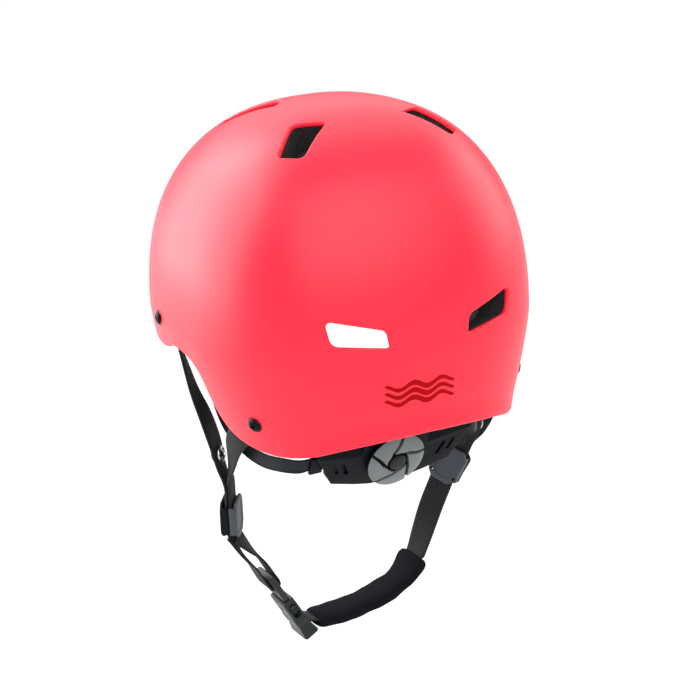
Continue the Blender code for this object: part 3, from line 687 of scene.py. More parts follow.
def anchor_frame(anchor, side):
    """Place and outward normal of a harness screw on the shell's outer surface."""
    bearing, height = math.radians(anchor[0]), anchor[1] * MM
    place, out = spot(bearing, height), spot_normal(bearing, height)
    if side == "right":
        place = Vector((-place.x, place.y, place.z))
        out = Vector((-out.x, out.y, out.z))
    return place, out


def anchor_matrix(anchor, side):
    place, out = anchor_frame(anchor, side)
    return frame_matrix(place, out, (0, 0, 1))


def make_shell():
    shell = dome("shell_moulding", 256, 56, 26, 0.0, SHELL_WALL, 0.0, 0.9 * MM)
    tree = tree_of(shell)
    normals = shell.data.copy()
    cutters = [vent_cutter(kind, side, tree, 0.0, VENT_LIP) for kind in VENTS for side in SIDES]
    seat = [(0, 9), (7.5, 9), (5.6, 0.35), (4.9, -0.35), (4.4, -0.8), (0, -0.8)]
    for anchor in ANCHORS.values():
        for side in SIDES:
            cutters.append(lathe("screw_seat", seat, anchor_matrix(anchor, side), 48))
    cut(shell, *cutters)
    match_normals(shell, tree, normals)
    bpy.data.meshes.remove(normals)
    put(shell, "root", "shell", PAINTS["shell"], "outer_shell")
    return tree


def match_normals(made, tree, source):
    """Where the cut surface still lies on the uncut one, take the uncut one's smooth normals."""
    corner_normals = [Vector(n.vector) for n in made.data.corner_normals]
    source_normals = [v.normal.copy() for v in source.vertices]
    polygons = [tuple(p.vertices) for p in source.polygons]
    places = [v.co.copy() for v in source.vertices]
    for polygon in made.data.polygons:
        hit, face_normal, index, distance = tree.find_nearest(polygon.center)
        if distance > NEAR_FACE or face_normal.dot(polygon.normal) < SAME_FACING:
            continue
        for loop in polygon.loop_indices:
            corner = made.data.vertices[made.data.loops[loop].vertex_index].co
            hit, face_normal, index, distance = tree.find_nearest(corner)
            if distance > NEAR_CORNER:
                continue
            weights = [1 / max((places[i] - corner).length, 1e-7) ** 2 for i in polygons[index]]
            total = sum((source_normals[i] * w for i, w in zip(polygons[index], weights)), Vector())
            corner_normals[loop] = total.normalized()
    made.data.normals_split_custom_set([tuple(n) for n in corner_normals])


# ---- webbing ----
LEFT_FRONT = [((97.6, -38.2, -16), (0.9, -0.43, -0.05)), ((94, -28.5, -41.8), (0.75, -0.65, 0)),
              ((90, -22.8, -58.3), (0.66, -0.75, 0)), ((86, -19.6, -75.7), (0.66, -0.75, 0)),
              ((83.4, -18.3, -91), (0.75, -0.66, 0))]
LEFT_REAR = [((88.3, 22.5, -58), (0.93, 0.25, -0.2)), ((85.6, 6, -71), (0.98, 0.05, -0.15)),
             ((81.8, -7, -85.5), (0.95, -0.3, -0.1)), ((80.3, -13.6, -96), (0.85, -0.52, 0))]
RIGHT_FRONT = [((-97.8, -37.5, -17), (-0.9, -0.43, -0.05)),
               ((-101.5, -27, -42), (-0.85, -0.5, 0.1)),
               ((-104.5, -16, -67), (-0.8, -0.6, 0)), ((-102.5, -9.5, -86), (-0.74, -0.66, -0.1)),
               ((-95.5, -9.3, -98), (-0.68, -0.7, -0.2))]
RIGHT_REAR = [((-88.3, 22.5, -58), (-0.96, -0.1, -0.2)), ((-88.5, 6, -72), (-0.92, -0.35, -0.15)),
              ((-90.5, -3, -86.5), (-0.95, -0.3, -0.1)), ((-89.5, -7, -97), (-0.85, -0.52, -0.1))]
ROUTES = {"left_front": LEFT_FRONT, "left_rear": LEFT_REAR,
          "right_front": RIGHT_FRONT, "right_rear": RIGHT_REAR}
SNAP_STATION = {"left": 6.5, "right": 7.0}


def divider_matrix(side):
    """Local axes: X down the webbing, Y across it, Z off the face."""
    centre, down, out = DIVIDERS[side]
    return frame_matrix(over_girth(centre), out, down)


def divider_point(side, along, out):
    return divider_matrix(side) @ Vector((along * MM, 0, out * MM))


def web_stations(anchor, side, listed, layer):
    """Webbing from its anchor inside the shell, by the listed stations, through the divider."""
    place, out = anchor_frame(anchor, side)
    seat = place - out * ANCHOR_DEPTH
    ahead = over_girth(listed[0][0]) - seat
    ahead = (ahead - out * ahead.dot(out)).normalized()
    run = [(seat - ahead * 9 * MM, out), (seat, out), (seat + ahead * 7 * MM, out)]
    run += placed(listed)
    off_face = divider_matrix(side).to_3x3() @ Vector((0, 0, 1))
    return run + [(divider_point(side, along, layer), off_face) for along in (-22, -11, 0, 11)]


def along_web(run, place):
    """A frame on the webbing at a fractional station: X down it, Z off the face."""
    spans = 8
    centres = smooth_path([centre for centre, normal in run], spans)
    normals = smooth_path([normal for centre, normal in run], spans)
    k = round(place * spans)
    ahead = centres[k + 1] - centres[k - 1]
    out = normals[k] - ahead.normalized() * normals[k].dot(ahead.normalized())
    return frame_matrix(centres[k], out, ahead)


def even_path(stations, step):
    """Centres, normals and run lengths at even steps along the stations' smooth path."""
    centres = np.array(smooth_path([station[0] for station in stations], 24))
    normals = np.array(smooth_path([station[1] for station in stations], 24))
    run = np.concatenate([[0], np.cumsum(np.linalg.norm(np.diff(centres, axis=0), axis=1))])
    count = max(2, round(run[-1] / step))
    wanted = np.linspace(0, run[-1], count + 1)
    centre = np.stack([np.interp(wanted, run, centres[:, i]) for i in range(3)], 1)
    normal = np.stack([np.interp(wanted, run, normals[:, i]) for i in range(3)], 1)
    ahead = np.gradient(centre, axis=0)
    ahead /= np.linalg.norm(ahead, axis=1)[:, None]
    across = np.cross(normal, ahead)
    across /= np.linalg.norm(across, axis=1)[:, None]
    return centre, across, np.cross(ahead, across), wanted


def band_section(width, thick, sides=7, edge=3):
    """Points (across, out) of a flat strip's section, with rounded edges."""
    flat = width / 2 - thick / 2
    face = [(x, thick / 2) for x in np.linspace(flat, -flat, sides)]
    turns = [math.pi * k / (edge + 1) for k in range(1, edge + 1)]
    face += [(-flat - thick / 2 * math.sin(turn), thick / 2 * math.cos(turn)) for turn in turns]
    return face + [(-x, -y) for x, y in face]


def sweep(name, stations, section, step, loop=False):
    """A section (across, out) carried along the stations."""
    centre, across, out, run = even_path(stations, step)
    rings = [[centre[k] + across[k] * x + out[k] * y for x, y in section] for k in range(len(run))]
    return tube(name, rings, 40, loop)


def strip(name, stations, width, thick, step=2 * MM):
    corners = [(width / 2, thick / 2), (-width / 2, thick / 2), (-width / 2, -thick / 2),
               (width / 2, -thick / 2)]
    return sweep(name, stations, corners, step)


def webbing(name, *layers):
    """Layers of webbing, each (stations, thickness, shift off the path), with their ribs.

    Length along and place across are kept as attributes, which the material reads."""
    verts, faces, lengths, widths = [], [], [], []
    for stations, thick, shift in layers:
        centre, across, out, run = even_path(stations, RIB_PITCH / 4)
        section = band_section(WEB_WIDTH, thick)
        rib = 1 + RIB_HEIGHT * np.cos(2 * math.pi * run / RIB_PITCH)
        first = len(verts)
        for k in range(len(run)):
            verts += [centre[k] + across[k] * x + out[k] * (y * rib[k] + shift) for x, y in section]
        faces += [tuple(first + i for i in face) for face in tube_faces(len(run), len(section))]
        lengths += np.repeat(run, len(section)).tolist()
        widths += [x for x, y in section] * len(run)
    made = add_object(name, verts, faces, 60)
    for label, values in (("web_along", lengths), ("web_across", widths)):
        made.data.attributes.new(label, "FLOAT", "POINT").data.foreach_set("value", values)
    return made


def make_upper_harness():
    """Four straps from the screws down to the dividers, and a snap on each front one."""
    for label, listed in ROUTES.items():
        side, end = label.split("_")
        run = web_stations(ANCHORS[end], side, listed, LAYER if end == "front" else -LAYER)
        strap = webbing(label + "_webbing", (run, WEB_THICK, 0.0))
        put(strap, "root", "webbing", PAINTS["webbing"], label + "_strap")
        make_screw(label, anchor_matrix(ANCHORS[end], side))
        if end == "front":
            make_snap(side, along_web(run, SNAP_STATION[side]))


def make_screw(label, matrix):
    """Pan head with a cross recess."""
    profile = [(0, 2.45), (1.6, 2.4), (2.9, 2.1), (3.9, 1.5), (4.4, 0.95), (4.6, 0.55),
               (4.55, 0.36), (2.0, 0.35), (2.0, -5.6), (1.6, -5.8), (0, -5.8)]
    screw = lathe("cross_screw_" + label, profile, matrix, 48)
    lean = turned(matrix, 25, "Z")
    cut(screw, block("recess_long", (4.8, 1.1, 3.2), (0, 0, 2.4), lean, 0.2, 1),
        block("recess_wide", (1.1, 4.8, 3.2), (0, 0, 2.4), lean, 0.2, 1))
    put(screw, "root", "black_steel", PAINTS["black_steel"], "screw_" + label)


def make_snap(side, matrix):
    """Cap on the outer face of the strap, spring ring on the cheek's side."""
    face = WEB_THICK / 2 / MM + 0.45
    cap = [(0, 2.6), (1.8, 2.55), (3.0, 2.35), (4.1, 1.9), (5.0, 1.2), (5.5, 0.5), (5.6, 0.15),
           (5.5, 0), (0, 0)]
    made = lathe(side + "_snap_button", [(r, face + h) for r, h in cap], matrix, 48)
    put(made, "root", "black_plastic", PAINTS["gloss_black"], side + "_snap_cap")
    ring = [(2.6, 0), (5.1, 0), (5.2, 0.15), (5.2, 1.1), (5.05, 1.6), (4.7, 1.95), (4.2, 2.15),
            (3.8, 2.0), (3.6, 1.6), (3.45, 1.1), (3.2, 0.9), (2.8, 0.95), (2.6, 0.8)]
    made = lathe(side + "_snap_ring", [(r, -face - h) for r, h in ring], matrix, 48)
    put(made, "root", "steel", PAINTS["steel"], side + "_snap_socket")


# ---- liner and pads ----
def make_liner(tree):
    foam = dome("foam_moulding", 192, 36, 14, SHELL_WALL + FOAM_GAP, FOAM_WALL, FOAM_LIFT, 2.5 * MM)
    cutters = [vent_cutter(kind, side, tree, 1.6, 0.4 * MM) for kind in VENTS for side in SIDES]
    for label, listed in ROUTES.items():
        side, end = label.split("_")
        run = web_stations(ANCHORS[end], side, listed, 0.0)
        cutters.append(strip("channel", run[:4], 20 * MM, 8 * MM))
        cutters.append(drill("pocket", 8.5, 6, -8.6, anchor_matrix(ANCHORS[end], side), 32))
    for side, run in BAND_RUNS.items():
        cutters.append(drill("bore", *PLUG_BORE, plug_matrix(run), 24))
    cut(foam, *cutters)
    put(foam, "root", "foam", PAINTS["foam"], "foam_liner")


def swell(u, v, power=5.0):
    """Crowned thickness of a pad, 1 in the middle and 0 at the edge, for places from -1 to 1."""
    return ((1 - abs(u) ** power) * (1 - abs(v) ** power)) ** (1 / 2.2)


def wall_pad(node, bearings, heights, thick=6.5):
    """A pad on the foam's inner face, between two bearings and two heights, with a sewn edge."""
    inset = SHELL_WALL + FOAM_GAP + FOAM_WALL + 1.4 * MM
    columns, rows = 72, 28

    def bearing(share):
        return math.radians(np.interp(share, [-1, 1], bearings))

    def height(share):
        return float(np.interp(share, [-1, 1], heights)) * MM

    verts = []
    for face in (0, 1):
        for i in range(rows + 1):
            for j in range(columns + 1):
                u, v = 2 * j / columns - 1, 2 * i / rows - 1
                shrink = 1 - max(0.0, abs(u) - 0.9) * max(0.0, abs(v) - 0.7) * 0.5
                place = spot(bearing(u * shrink), height(v * shrink), inset + 1.2 * MM)
                inward = -spot_normal(bearing(u), height(v))
                full = swell(u, v)
                seam = 1 - 0.3 * math.exp(-(u / 0.035) ** 2)
                rise = (0.35 + (thick - 1.9) * full * seam) if face else -0.35 - 0.7 * full
                verts.append(place + inward * rise * MM)
    wide = columns + 1
    count = wide * (rows + 1)
    faces = []
    for i in range(rows):
        for j in range(columns):
            a = i * wide + j
            faces.append((a, a + 1, a + wide + 1, a + wide))
            faces.append((count + a, count + a + wide, count + a + wide + 1, count + a + 1))
    edge = list(range(columns)) + [i * wide + columns for i in range(rows)]
    edge += [rows * wide + j for j in range(columns, 0, -1)]
    edge += [i * wide for i in range(rows, 0, -1)]
    for a, b in zip(edge, edge[1:] + edge[:1]):
        faces.append((a, b, count + b, count + a))
    made = add_object(node + "_cushion", verts, faces, 60)
    put(made, "root", "pad", PAINTS["pad"], node)


def make_pads():
    profile = [(0, 6.4), (4, 6.35), (8, 6.15), (12, 5.8), (13, 5.3), (14, 5.6), (17, 5.1),
               (20, 4.2), (22, 3.2), (23.3, 2.1), (23.6, 1.3), (23.3, 0.6), (22.4, 0.1),
               (20, 0), (0, 0)]
    crown = lathe("crown_cushion", profile, Matrix.Identity(4), 96, 60)
    put(crown, "root", "pad", PAINTS["pad"], "crown_pad")
    wall_pad("front_pad", (-132, -48), (-5, 15))
    wall_pad("rear_pad", (62, 118), (-38, -14))
    wall_pad("left_pad", (-16, 22), (8, 40))
    wall_pad("right_pad", (158, 196), (8, 40))


# ---- dividers ----
def make_dividers():
    """Base with rails next to the cheek and a cover with lips over the webbing."""
    plate = [(-12.4, -6.5, 2.5), (-8.5, -10.9, 4), (7, -9.9, 5), (12.2, -6.2, 3.5), (12.4, 6, 3.5),
             (8.0, 10.9, 5), (-6.5, 9.9, 5), (-12.2, 7, 2.5)]
    panel = [(x * 0.72, y * 0.66, radius * 0.6) for x, y, radius in plate]
    for side in DIVIDERS:
        matrix = divider_matrix(side)
        for name, node, slot, face in (("base", "_divider_base", "slate_plastic", -1),
                                       ("cover", "_divider_cover", "black_plastic", 1)):
            reach = 1.0 if face < 0 else 0.96
            outline = [(x * reach, y) for x, y in rounded(plate, 8)]
            made = prism(f"{side}_divider_{name}_moulding", outline, 3.55 * face, 5.3 * face,
                         matrix)
            soften(made, 0.5, 3)
            rails = [block("rail", (18, 1.9, 3.6), (0, 10.0 * k * 0.94, 2.25 * face), matrix, 0.35)
                     for k in (-1, 1)]
            join(made, *rails)
            cutters = [prism("panel", rounded(panel, 6), 5.0 * face, 7.0 * face, matrix)]
            for x, y in ((6.8, -8.4), (7.2, 8.0)):
                cutters.append(drill("hole", 1.15, 8, -8, shifted(matrix, x, y, 0), 20))
            cut(made, *cutters)
            put(made, f"{side}_divider", slot, PAINTS[slot], side + node)


# ---- lower straps and chin pad ----
def buckle_point(along, out):
    return buckle_matrix() @ Vector((along * MM, 0, out * MM))


def buckle_matrix():
    """Local axes: X along the buckle to the chin, Y across it, Z away from the face."""
    return frame_matrix(over_girth(BUCKLE_CENTRE), BUCKLE_OUT, BUCKLE_AXIS)


def lower_left_run():
    """From the left divider to the buckle's bar, round it and back up."""
    diagonal = (BUCKLE_OUT + BUCKLE_AXIS).normalized()
    inner_diagonal = (BUCKLE_AXIS - BUCKLE_OUT).normalized()
    down = [(divider_point("left", 13, 1.9), Vector((0.8, -0.6, 0))),
            (over_girth((74.5, -16, -151)), Vector((0.85, -0.25, -0.45))),
            (over_girth((67.8, -15.3, -161)), Vector((0.84, -0.05, -0.53)))]
    around = [(buckle_point(-24.5, 3.7), BUCKLE_OUT), (buckle_point(-19.6, 3.7), BUCKLE_OUT),
              (buckle_point(-16.7, 2.7), diagonal), (buckle_point(-15.5, 0), BUCKLE_AXIS),
              (buckle_point(-16.7, -2.7), inner_diagonal), (buckle_point(-19.6, -3.7), -BUCKLE_OUT),
              (buckle_point(-24.5, -3.7), -BUCKLE_OUT)]
    back = [(over_girth((62.5, -15.3, -156.5)), Vector((-0.8, 0.05, 0.6))),
            (over_girth((69.5, -15.6, -147.5)), Vector((-0.82, 0.35, 0.45))),
            (divider_point("left", 13, -1.9), Vector((-0.8, 0.6, 0)))]
    return down + around + back


def lower_right_run():
    """From the right divider, under the chin, into the buckle."""
    listed = [((-65.5, -19.5, -153.5), (-0.72, -0.62, -0.3)),
              ((-57.5, -17, -168), (-0.78, -0.42, -0.45)),
              ((-50, -15.3, -182.5), (-0.74, -0.2, -0.65)),
              ((-38.5, -15, -195.5), (-0.45, 0, -0.89)),
              ((-22, -15, -203), (-0.25, 0, -0.97)), ((-4, -15, -207), (-0.08, 0, -1)),
              ((11, -15, -208.3), (0, 0, -1)), ((23.5, -15, -208.3), (0, 0, -1))]
    start = (divider_point("right", 12, 0), Vector((-0.74, -0.6, -0.2)))
    end = [(buckle_point(along, out), BUCKLE_AXIS) for along, out in ((21.0, -5.6), (20.3, 0.6))]
    return [start] + placed(listed) + end


def make_lower_straps():
    run = lower_left_run()
    left = webbing("left_lower_webbing", (run, 1.3 * MM, 0.0))
    put(left, None, "webbing", PAINTS["webbing"], "left_lower_strap")
    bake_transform(left)
    run = lower_right_run()
    whole, folded = (run, 1.05 * MM, -0.55 * MM), (run[:4], 1.0 * MM, 0.56 * MM)
    right = webbing("right_lower_webbing", whole, folded)
    put(right, None, "webbing", PAINTS["webbing"], "right_lower_strap")
    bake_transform(right)


def super_ring(width, height, power, count=44):
    """Points of a superellipse section, half width and half height given."""
    ring = []
    for k in range(count):
        turn = 2 * math.pi * k / count
        cos, sin = math.cos(turn), math.sin(turn)
        ring.append((width * math.copysign(abs(cos) ** (2 / power), cos),
                     height * math.copysign(abs(sin) ** (2 / power), sin)))
    return ring


def make_chin_pad():
    """A soft sleeve round the webbing; its edge puckers a little along the seam."""
    stations = lower_right_run()[3:9] + placed([((27, -15, -207.8), (0.1, 0, -1))])
    centre, across, out, run = even_path(stations, 0.8 * MM)
    last = len(run) - 1
    bore = super_ring(WEB_WIDTH / 2 + 0.7 * MM, 1.9 * MM, 7)
    outer, inner = [], []
    for k in range(last + 1):
        share = 2 * k / last - 1
        full = (1 - abs(share) ** 16) ** 0.5
        pucker = 1 + 0.2 * math.sin(run[k] / (4.6 * MM)) + 0.09 * math.sin(run[k] / (2.1 * MM))
        half_width = WEB_WIDTH / 2 + 1.2 * MM + (3.25 * MM) * full * pucker
        half_height = 2.4 * MM + 2.3 * MM * full * (1 + 0.08 * math.sin(run[k] / (4.1 * MM) + 1))
        section = super_ring(half_width, half_height, 2.7)
        outer.append([centre[k] + across[k] * x + out[k] * y for x, y in section])
        inner.append([centre[k] + across[k] * x + out[k] * y for x, y in bore])
    made = tube("chin_cushion", outer + inner[::-1], 60, loop=True)
    put(made, "chin_strap", "pad", PAINTS["pad"], "chin_pad")


# ---- buckle ----
def loft(name, matrix, sections, power=5.0, count=56):
    """A solid through sections (x, half width, half height) in millimetres along X."""
    rings = []
    for x, half_width, half_height in sections:
        ring = super_ring(half_width, half_height, power, count)
        rings.append([matrix @ (Vector((x, y, z)) * MM) for y, z in ring])
    return tube(name, rings)


def buckle_prong(label, sign, matrix):
    outline = [(-5.6, 4.2, 0.3), (-5.6, 8.0, 0.5), (-0.6, 8.2, 0.8), (0.8, 10.6, 1.0),
               (3.6, 11.2, 1.4), (6.6, 9.2, 2.5), (8.8, 6.2, 1.2), (8.2, 4.6, 0.6)]
    shape = [(x, y * sign) for x, y in rounded(outline, 8)]
    prong = soften(prism(f"prong_{label}_moulding", shape, -1.9, 1.9, matrix), 0.5, 3)
    grip = [block("rib", (0.5, 1.0, 3.0), (1.6 + 1.3 * k, (11.0 - 0.25 * k) * sign, 0), matrix,
                  0.15, 1) for k in range(3)]
    cut(prong, *grip)
    put(prong, "prong_" + label, "black_plastic", PAINTS["buckle"], "buckle_prong_" + label)


def make_buckle():
    """Side-release buckle: a socket with finger windows, a ladder-lock tongue and two prongs."""
    matrix = buckle_matrix()
    body = [(-4.5, 9.6, 3.7), (-4.1, 10.1, 4.1), (-3.2, 10.25, 4.3), (2, 10.2, 4.45),
            (8, 9.7, 4.5), (11, 9.6, 4.45), (11.6, 9.9, 4.7), (12.2, 10.1, 4.85),
            (16.6, 10.1, 4.8), (17.2, 9.8, 4.5), (17.5, 9.3, 4.1), (17.9, 9.4, 4.15),
            (20.5, 9.9, 4.6), (24, 10.9, 5.2), (26.3, 11.6, 5.6), (26.7, 11.4, 5.4)]
    female = loft("buckle_socket", matrix, body, 8)
    window = rounded([(-1.6, -2.6, 2.4), (-1.6, 2.6, 2.4), (10.4, 2.4, 2.2), (10.4, -2.4, 2.2)], 8)
    side_on = turned(matrix, 90, "X")
    cut(female,
        block("socket", (17.5, 17.2, 5.0), (3.2, 0, 0), matrix, 0.3, 1),
        prism("side_windows", window, -15, 15, side_on),
        block("strap_slot", (3.6, 17.2, 12), (20.3, 0, -2.6), matrix, 0.5, 2),
        block("strap_slot_outer", (4.4, 17.2, 4.4), (24.9, 0, -4.5), matrix, 0.5, 2))
    arrow = rounded([(2.0, -2.6, 0.4), (2.0, 2.6, 0.4), (6.6, 0, 0.5)], 4)
    cut(female, prism("arrow", arrow, 4.3, 6, matrix))
    put(female, "chin_strap", "black_plastic", PAINTS["buckle"], "buckle_female")
    bars = [(-26, 9.6, 1.7), (-25.6, 10.1, 2.15), (-24.9, 10.25, 2.3), (-7.2, 10.25, 2.3),
            (-6.4, 10.1, 2.15), (-6.0, 9.7, 1.8)]
    male = loft("buckle_ladder", matrix, bars, 7)
    join(male, block("tongue", (14, 4.4, 3.0), (-0.2, 0, 0), matrix, 0.6))
    cut(male,
        block("ladder_slot_low", (4.9, 17.0, 9), (-15.75, 0, 0), matrix, 0.6),
        block("ladder_slot_high", (3.6, 17.0, 9), (-22.4, 0, 0), matrix, 0.6))
    for k in range(3):
        cut(male, block("grip", (0.55, 15, 0.8), (-11.6 + 1.5 * k, 0, 2.35), matrix, 0.2, 1))
    put(male, "buckle_male", "black_plastic", PAINTS["buckle"], "buckle_male")
    for label, sign in (("rear", 1), ("front", -1)):
        buckle_prong(label, sign, matrix)


# ---- nape cradle and dial ----
CRADLE = Matrix.Translation(over_girth(DIAL_CENTRE)) @ Matrix.Rotation(DIAL_TILT, 4, "X")


def outward(depth=0.0):
    """Local axes on the cradle: X to the wearer's left, Y down, Z away from the head."""
    return turned(CRADLE @ Matrix.Translation((0, depth * MM, 0)), -90, "X")


def housing_outline():
    half = [(13, -18.8, 8), (24, -16.4, 8), (41, -11.4, 2.0), (54.3, 13.3, 1.6), (38, 16, 8),
            (20, 17.5, 9)]
    corners = half + [(-x, z, radius) for x, z, radius in reversed(half)]
    return [(x, -z) for x, z in rounded(corners, 6)]


def make_housing():
    """Outer moulding: a boss behind the dial, creased wings with slots, room for the racks."""
    matrix = outward(HOUSING_DEPTH)
    housing = prism("cradle_moulding", divided(housing_outline(), 4), -4.5, 4.5, matrix)
    soften(housing, 0.7, 3)
    cutters = [block("rack_room", (120, 17, 7), (0, -0.4, -1.1), matrix),
               drill("axle_hole", 3.6, 30, -30, outward(), 32)]
    for sign in (-1, 1):
        crease = turned(turned(shifted(matrix, 39 * sign, -8, 4.5), -9 * sign, "Z"), 20, "X")
        cutters.append(block("upper_facet", (32, 24, 6), (0, -12, 3), crease, 0.5, 2))
        for x, y, half, depth in ((33.3, 1.5, 5.2, 1.9), (40, 0, 4.5, 1.1)):
            lean = turned(shifted(matrix, x * sign, y, 4.5), 26 * sign, "Z")
            oblong = rounded([(a * 1.2, b * half, 1.1)
                              for a, b in ((-1, -1), (1, -1), (1, 1), (-1, 1))], 6)
            cutters.append(prism("wing_slot", oblong, -depth, 3, lean))
    cut(housing, *cutters)
    put(housing, "cradle", "black_plastic", PAINTS["black_plastic"], "cradle_housing")


def make_cradle_pad():
    """Soft block glued to the plate behind the housing."""
    rings = []
    count = 60
    for k in range(count + 1):
        share = 2 * k / count - 1
        full = (1 - abs(share) ** 9) ** 0.5
        dimple = 1 - 0.1 * math.exp(-((abs(share) - 0.38) / 0.05) ** 2)
        section = super_ring((1.6 + 8.4 * full) * MM, (0.5 + 1.75 * full * dimple) * MM, 3.2)
        rings.append([CRADLE @ Vector((35 * share * MM, -16.7 * MM + y, x)) for x, y in section])
    made = tube("nape_cushion", rings, 60)
    put(made, "cradle", "pad", PAINTS["pad"], "cradle_pad")


def make_racks():
    """Toothed strips: the left one's teeth face down to the pinion, the right one's face up."""
    for side, sign in (("left", 1), ("right", -1)):
        teeth = [(-11 + 1.25 * k + step, -4.6 - height) for k in range(48)
                 for step, height in ((0, 0), (0.35, 0.75), (0.75, 0.75), (1.1, 0))]
        shape = teeth + [(53.0, -4.6), (53.0, -7.2), (-11, -7.2)]
        outline = [(x * sign, y * sign) for x, y in shape]
        matrix = outward(RACK_DEPTH)
        rack = prism(side + "_rack_strip", outline, -1.2, 1.2, matrix)
        tab = block("tab", (8.5, 12, 2.4), (50.5 * sign, -2 * sign, 0), matrix, 0.5)
        join(rack, tab)
        put(rack, side + "_rack", "black_plastic", PAINTS["black_plastic"], side + "_rack")


def blade_outline(start):
    """One blade of the pinwheel, between two bent grooves."""
    groove = [(7.4, 44, 1.9), (10, 22, 1.8), (13.5, 7, 1.3), (DIAL_RADIUS, 0, 0.95)]
    leading = [(r, start + a + math.degrees(margin / r)) for r, a, margin in groove]
    trailing = [(r, start + 360 / BLADES + a - math.degrees(margin / r)) for r, a, margin in groove]
    rim = [(DIAL_RADIUS, float(a)) for a in np.linspace(leading[-1][1], trailing[-1][1], 25)]
    hub = [(groove[0][0], float(a)) for a in np.linspace(trailing[0][1], leading[0][1], 9)]
    ring = leading[:-1] + rim + trailing[1:-1][::-1] + hub[:-1]
    return [(r * math.cos(math.radians(a)), r * math.sin(math.radians(a))) for r, a in ring]


def make_dial():
    """Knob: dark core, five domed grey blades, and a plain glossy disc with a fine ring."""
    matrix = outward()
    profile = [(0, 0.2), (17.6, 0.2), (18.2, -0.1), (18.4, -0.6), (18.4, -2.2), (18.2, -2.4),
               (2.5, -2.4), (2.5, -11.9), (0, -11.9)]
    core = lathe("dial_hub", profile, matrix, 96)
    put(core, "dial", "black_plastic", PAINTS["black_plastic"], "dial_core")
    dome_profile = [(0, 3.25), (6, 3.15), (10.6, 2.85), (14.4, 2.3), (16.9, 1.65), (18.3, 1.0),
                    (19.1, 0.7), (19.2, 0.55), (19.2, 0.5), (0, 0.5)]
    for k in range(BLADES):
        blade = prism(f"dial_vane_{k + 1}", blade_outline(48 + 360 / BLADES * k), 0.45, 6, matrix)
        cap = lathe("dial_dome", dome_profile, matrix, 96)
        combine(blade, [cap], "INTERSECT")
        soften(blade, 0.3, 2, 40)
        put(blade, "dial", "dial_grey", PAINTS["dial_grey"], f"dial_blade_{k + 1}")
    disc = [(0, 3.4), (3.0, 3.35), (3.8, 3.28), (3.9, 3.12), (4.05, 3.12), (4.15, 3.24),
            (4.9, 3.05), (5.4, 2.7), (5.5, 2.3), (5.5, 0.5), (0, 0.5)]
    cap = lathe("dial_disc", disc, matrix, 64)
    put(cap, "dial", "gloss_black", PAINTS["gloss_black"], "dial_cap")


# ---- bands ----
def band_run(sign):
    listed = [((44, 44.7, -76.2), (0, 0.93, -0.37)), ((50, 44.7, -76.2), (0, 0.93, -0.37)),
              ((55.8, 45.6, -76.7), (0.1, 0.93, -0.35)), ((61.5, 44.3, -76.9), (0.4, 0.9, -0.2)),
              ((67.5, 36.5, -77), (0.75, 0.66, 0)), ((73, 22.5, -77.3), (0.92, 0.4, 0)),
              ((76.8, 7, -74.4), (0.97, 0.24, 0)), ((79.5, -9, -67.5), (1, 0.1, 0)),
              ((81, -22, -55), (1, 0, 0)), ((81.8, -32, -36), (0.98, -0.2, 0)),
              ((81.4, -38.5, -14), (0.95, -0.3, 0)), ((80.6, -40.5, 6), (0.94, -0.34, 0))]
    return placed(listed, sign)


BAND_RUNS = {"left": band_run(1), "right": band_run(-1)}


def plug_matrix(run):
    place = run[-1][0] - (run[-1][0] - run[-2][0]).normalized() * 5 * MM
    return frame_matrix(place, run[-1][1], (0, 0, 1))


def make_bands():
    """Bands with raised edges from the temple plugs to the racks' tabs, and on behind them."""
    section = [(4.5, -0.5), (4.5, 0.5), (4.2, 0.8), (3.4, 0.8), (3.1, 0.45), (-3.1, 0.45),
               (-3.4, 0.8), (-4.2, 0.8), (-4.5, 0.5), (-4.5, -0.5), (-4.2, -0.8), (4.2, -0.8)]
    section = [(x * MM, y * MM) for x, y in section]
    plug_profile = [(0, 11), (1.2, 10.9), (1.8, 10.3), (2.2, 9), (1.9, 8), (1.9, -1.2),
                    (3.8, -1.3), (4.2, -1.6), (4.2, -2.2), (3.8, -2.6), (1.2, -2.6),
                    (0.9, -2.2), (0, -2.2)]
    for side, run in BAND_RUNS.items():
        band = sweep(side + "_head_band", run, section, 1.5 * MM)
        matrix = plug_matrix(run)
        cut(band, drill("bore", *PLUG_BORE, matrix, 32))
        put(band, None, "band", PAINTS["band"], side + "_band")
        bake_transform(band)
        plug = lathe(side + "_temple_plug", plug_profile, matrix, 40)
        put(plug, "root", "black_plastic", PAINTS["black_plastic"], side + "_band_plug")


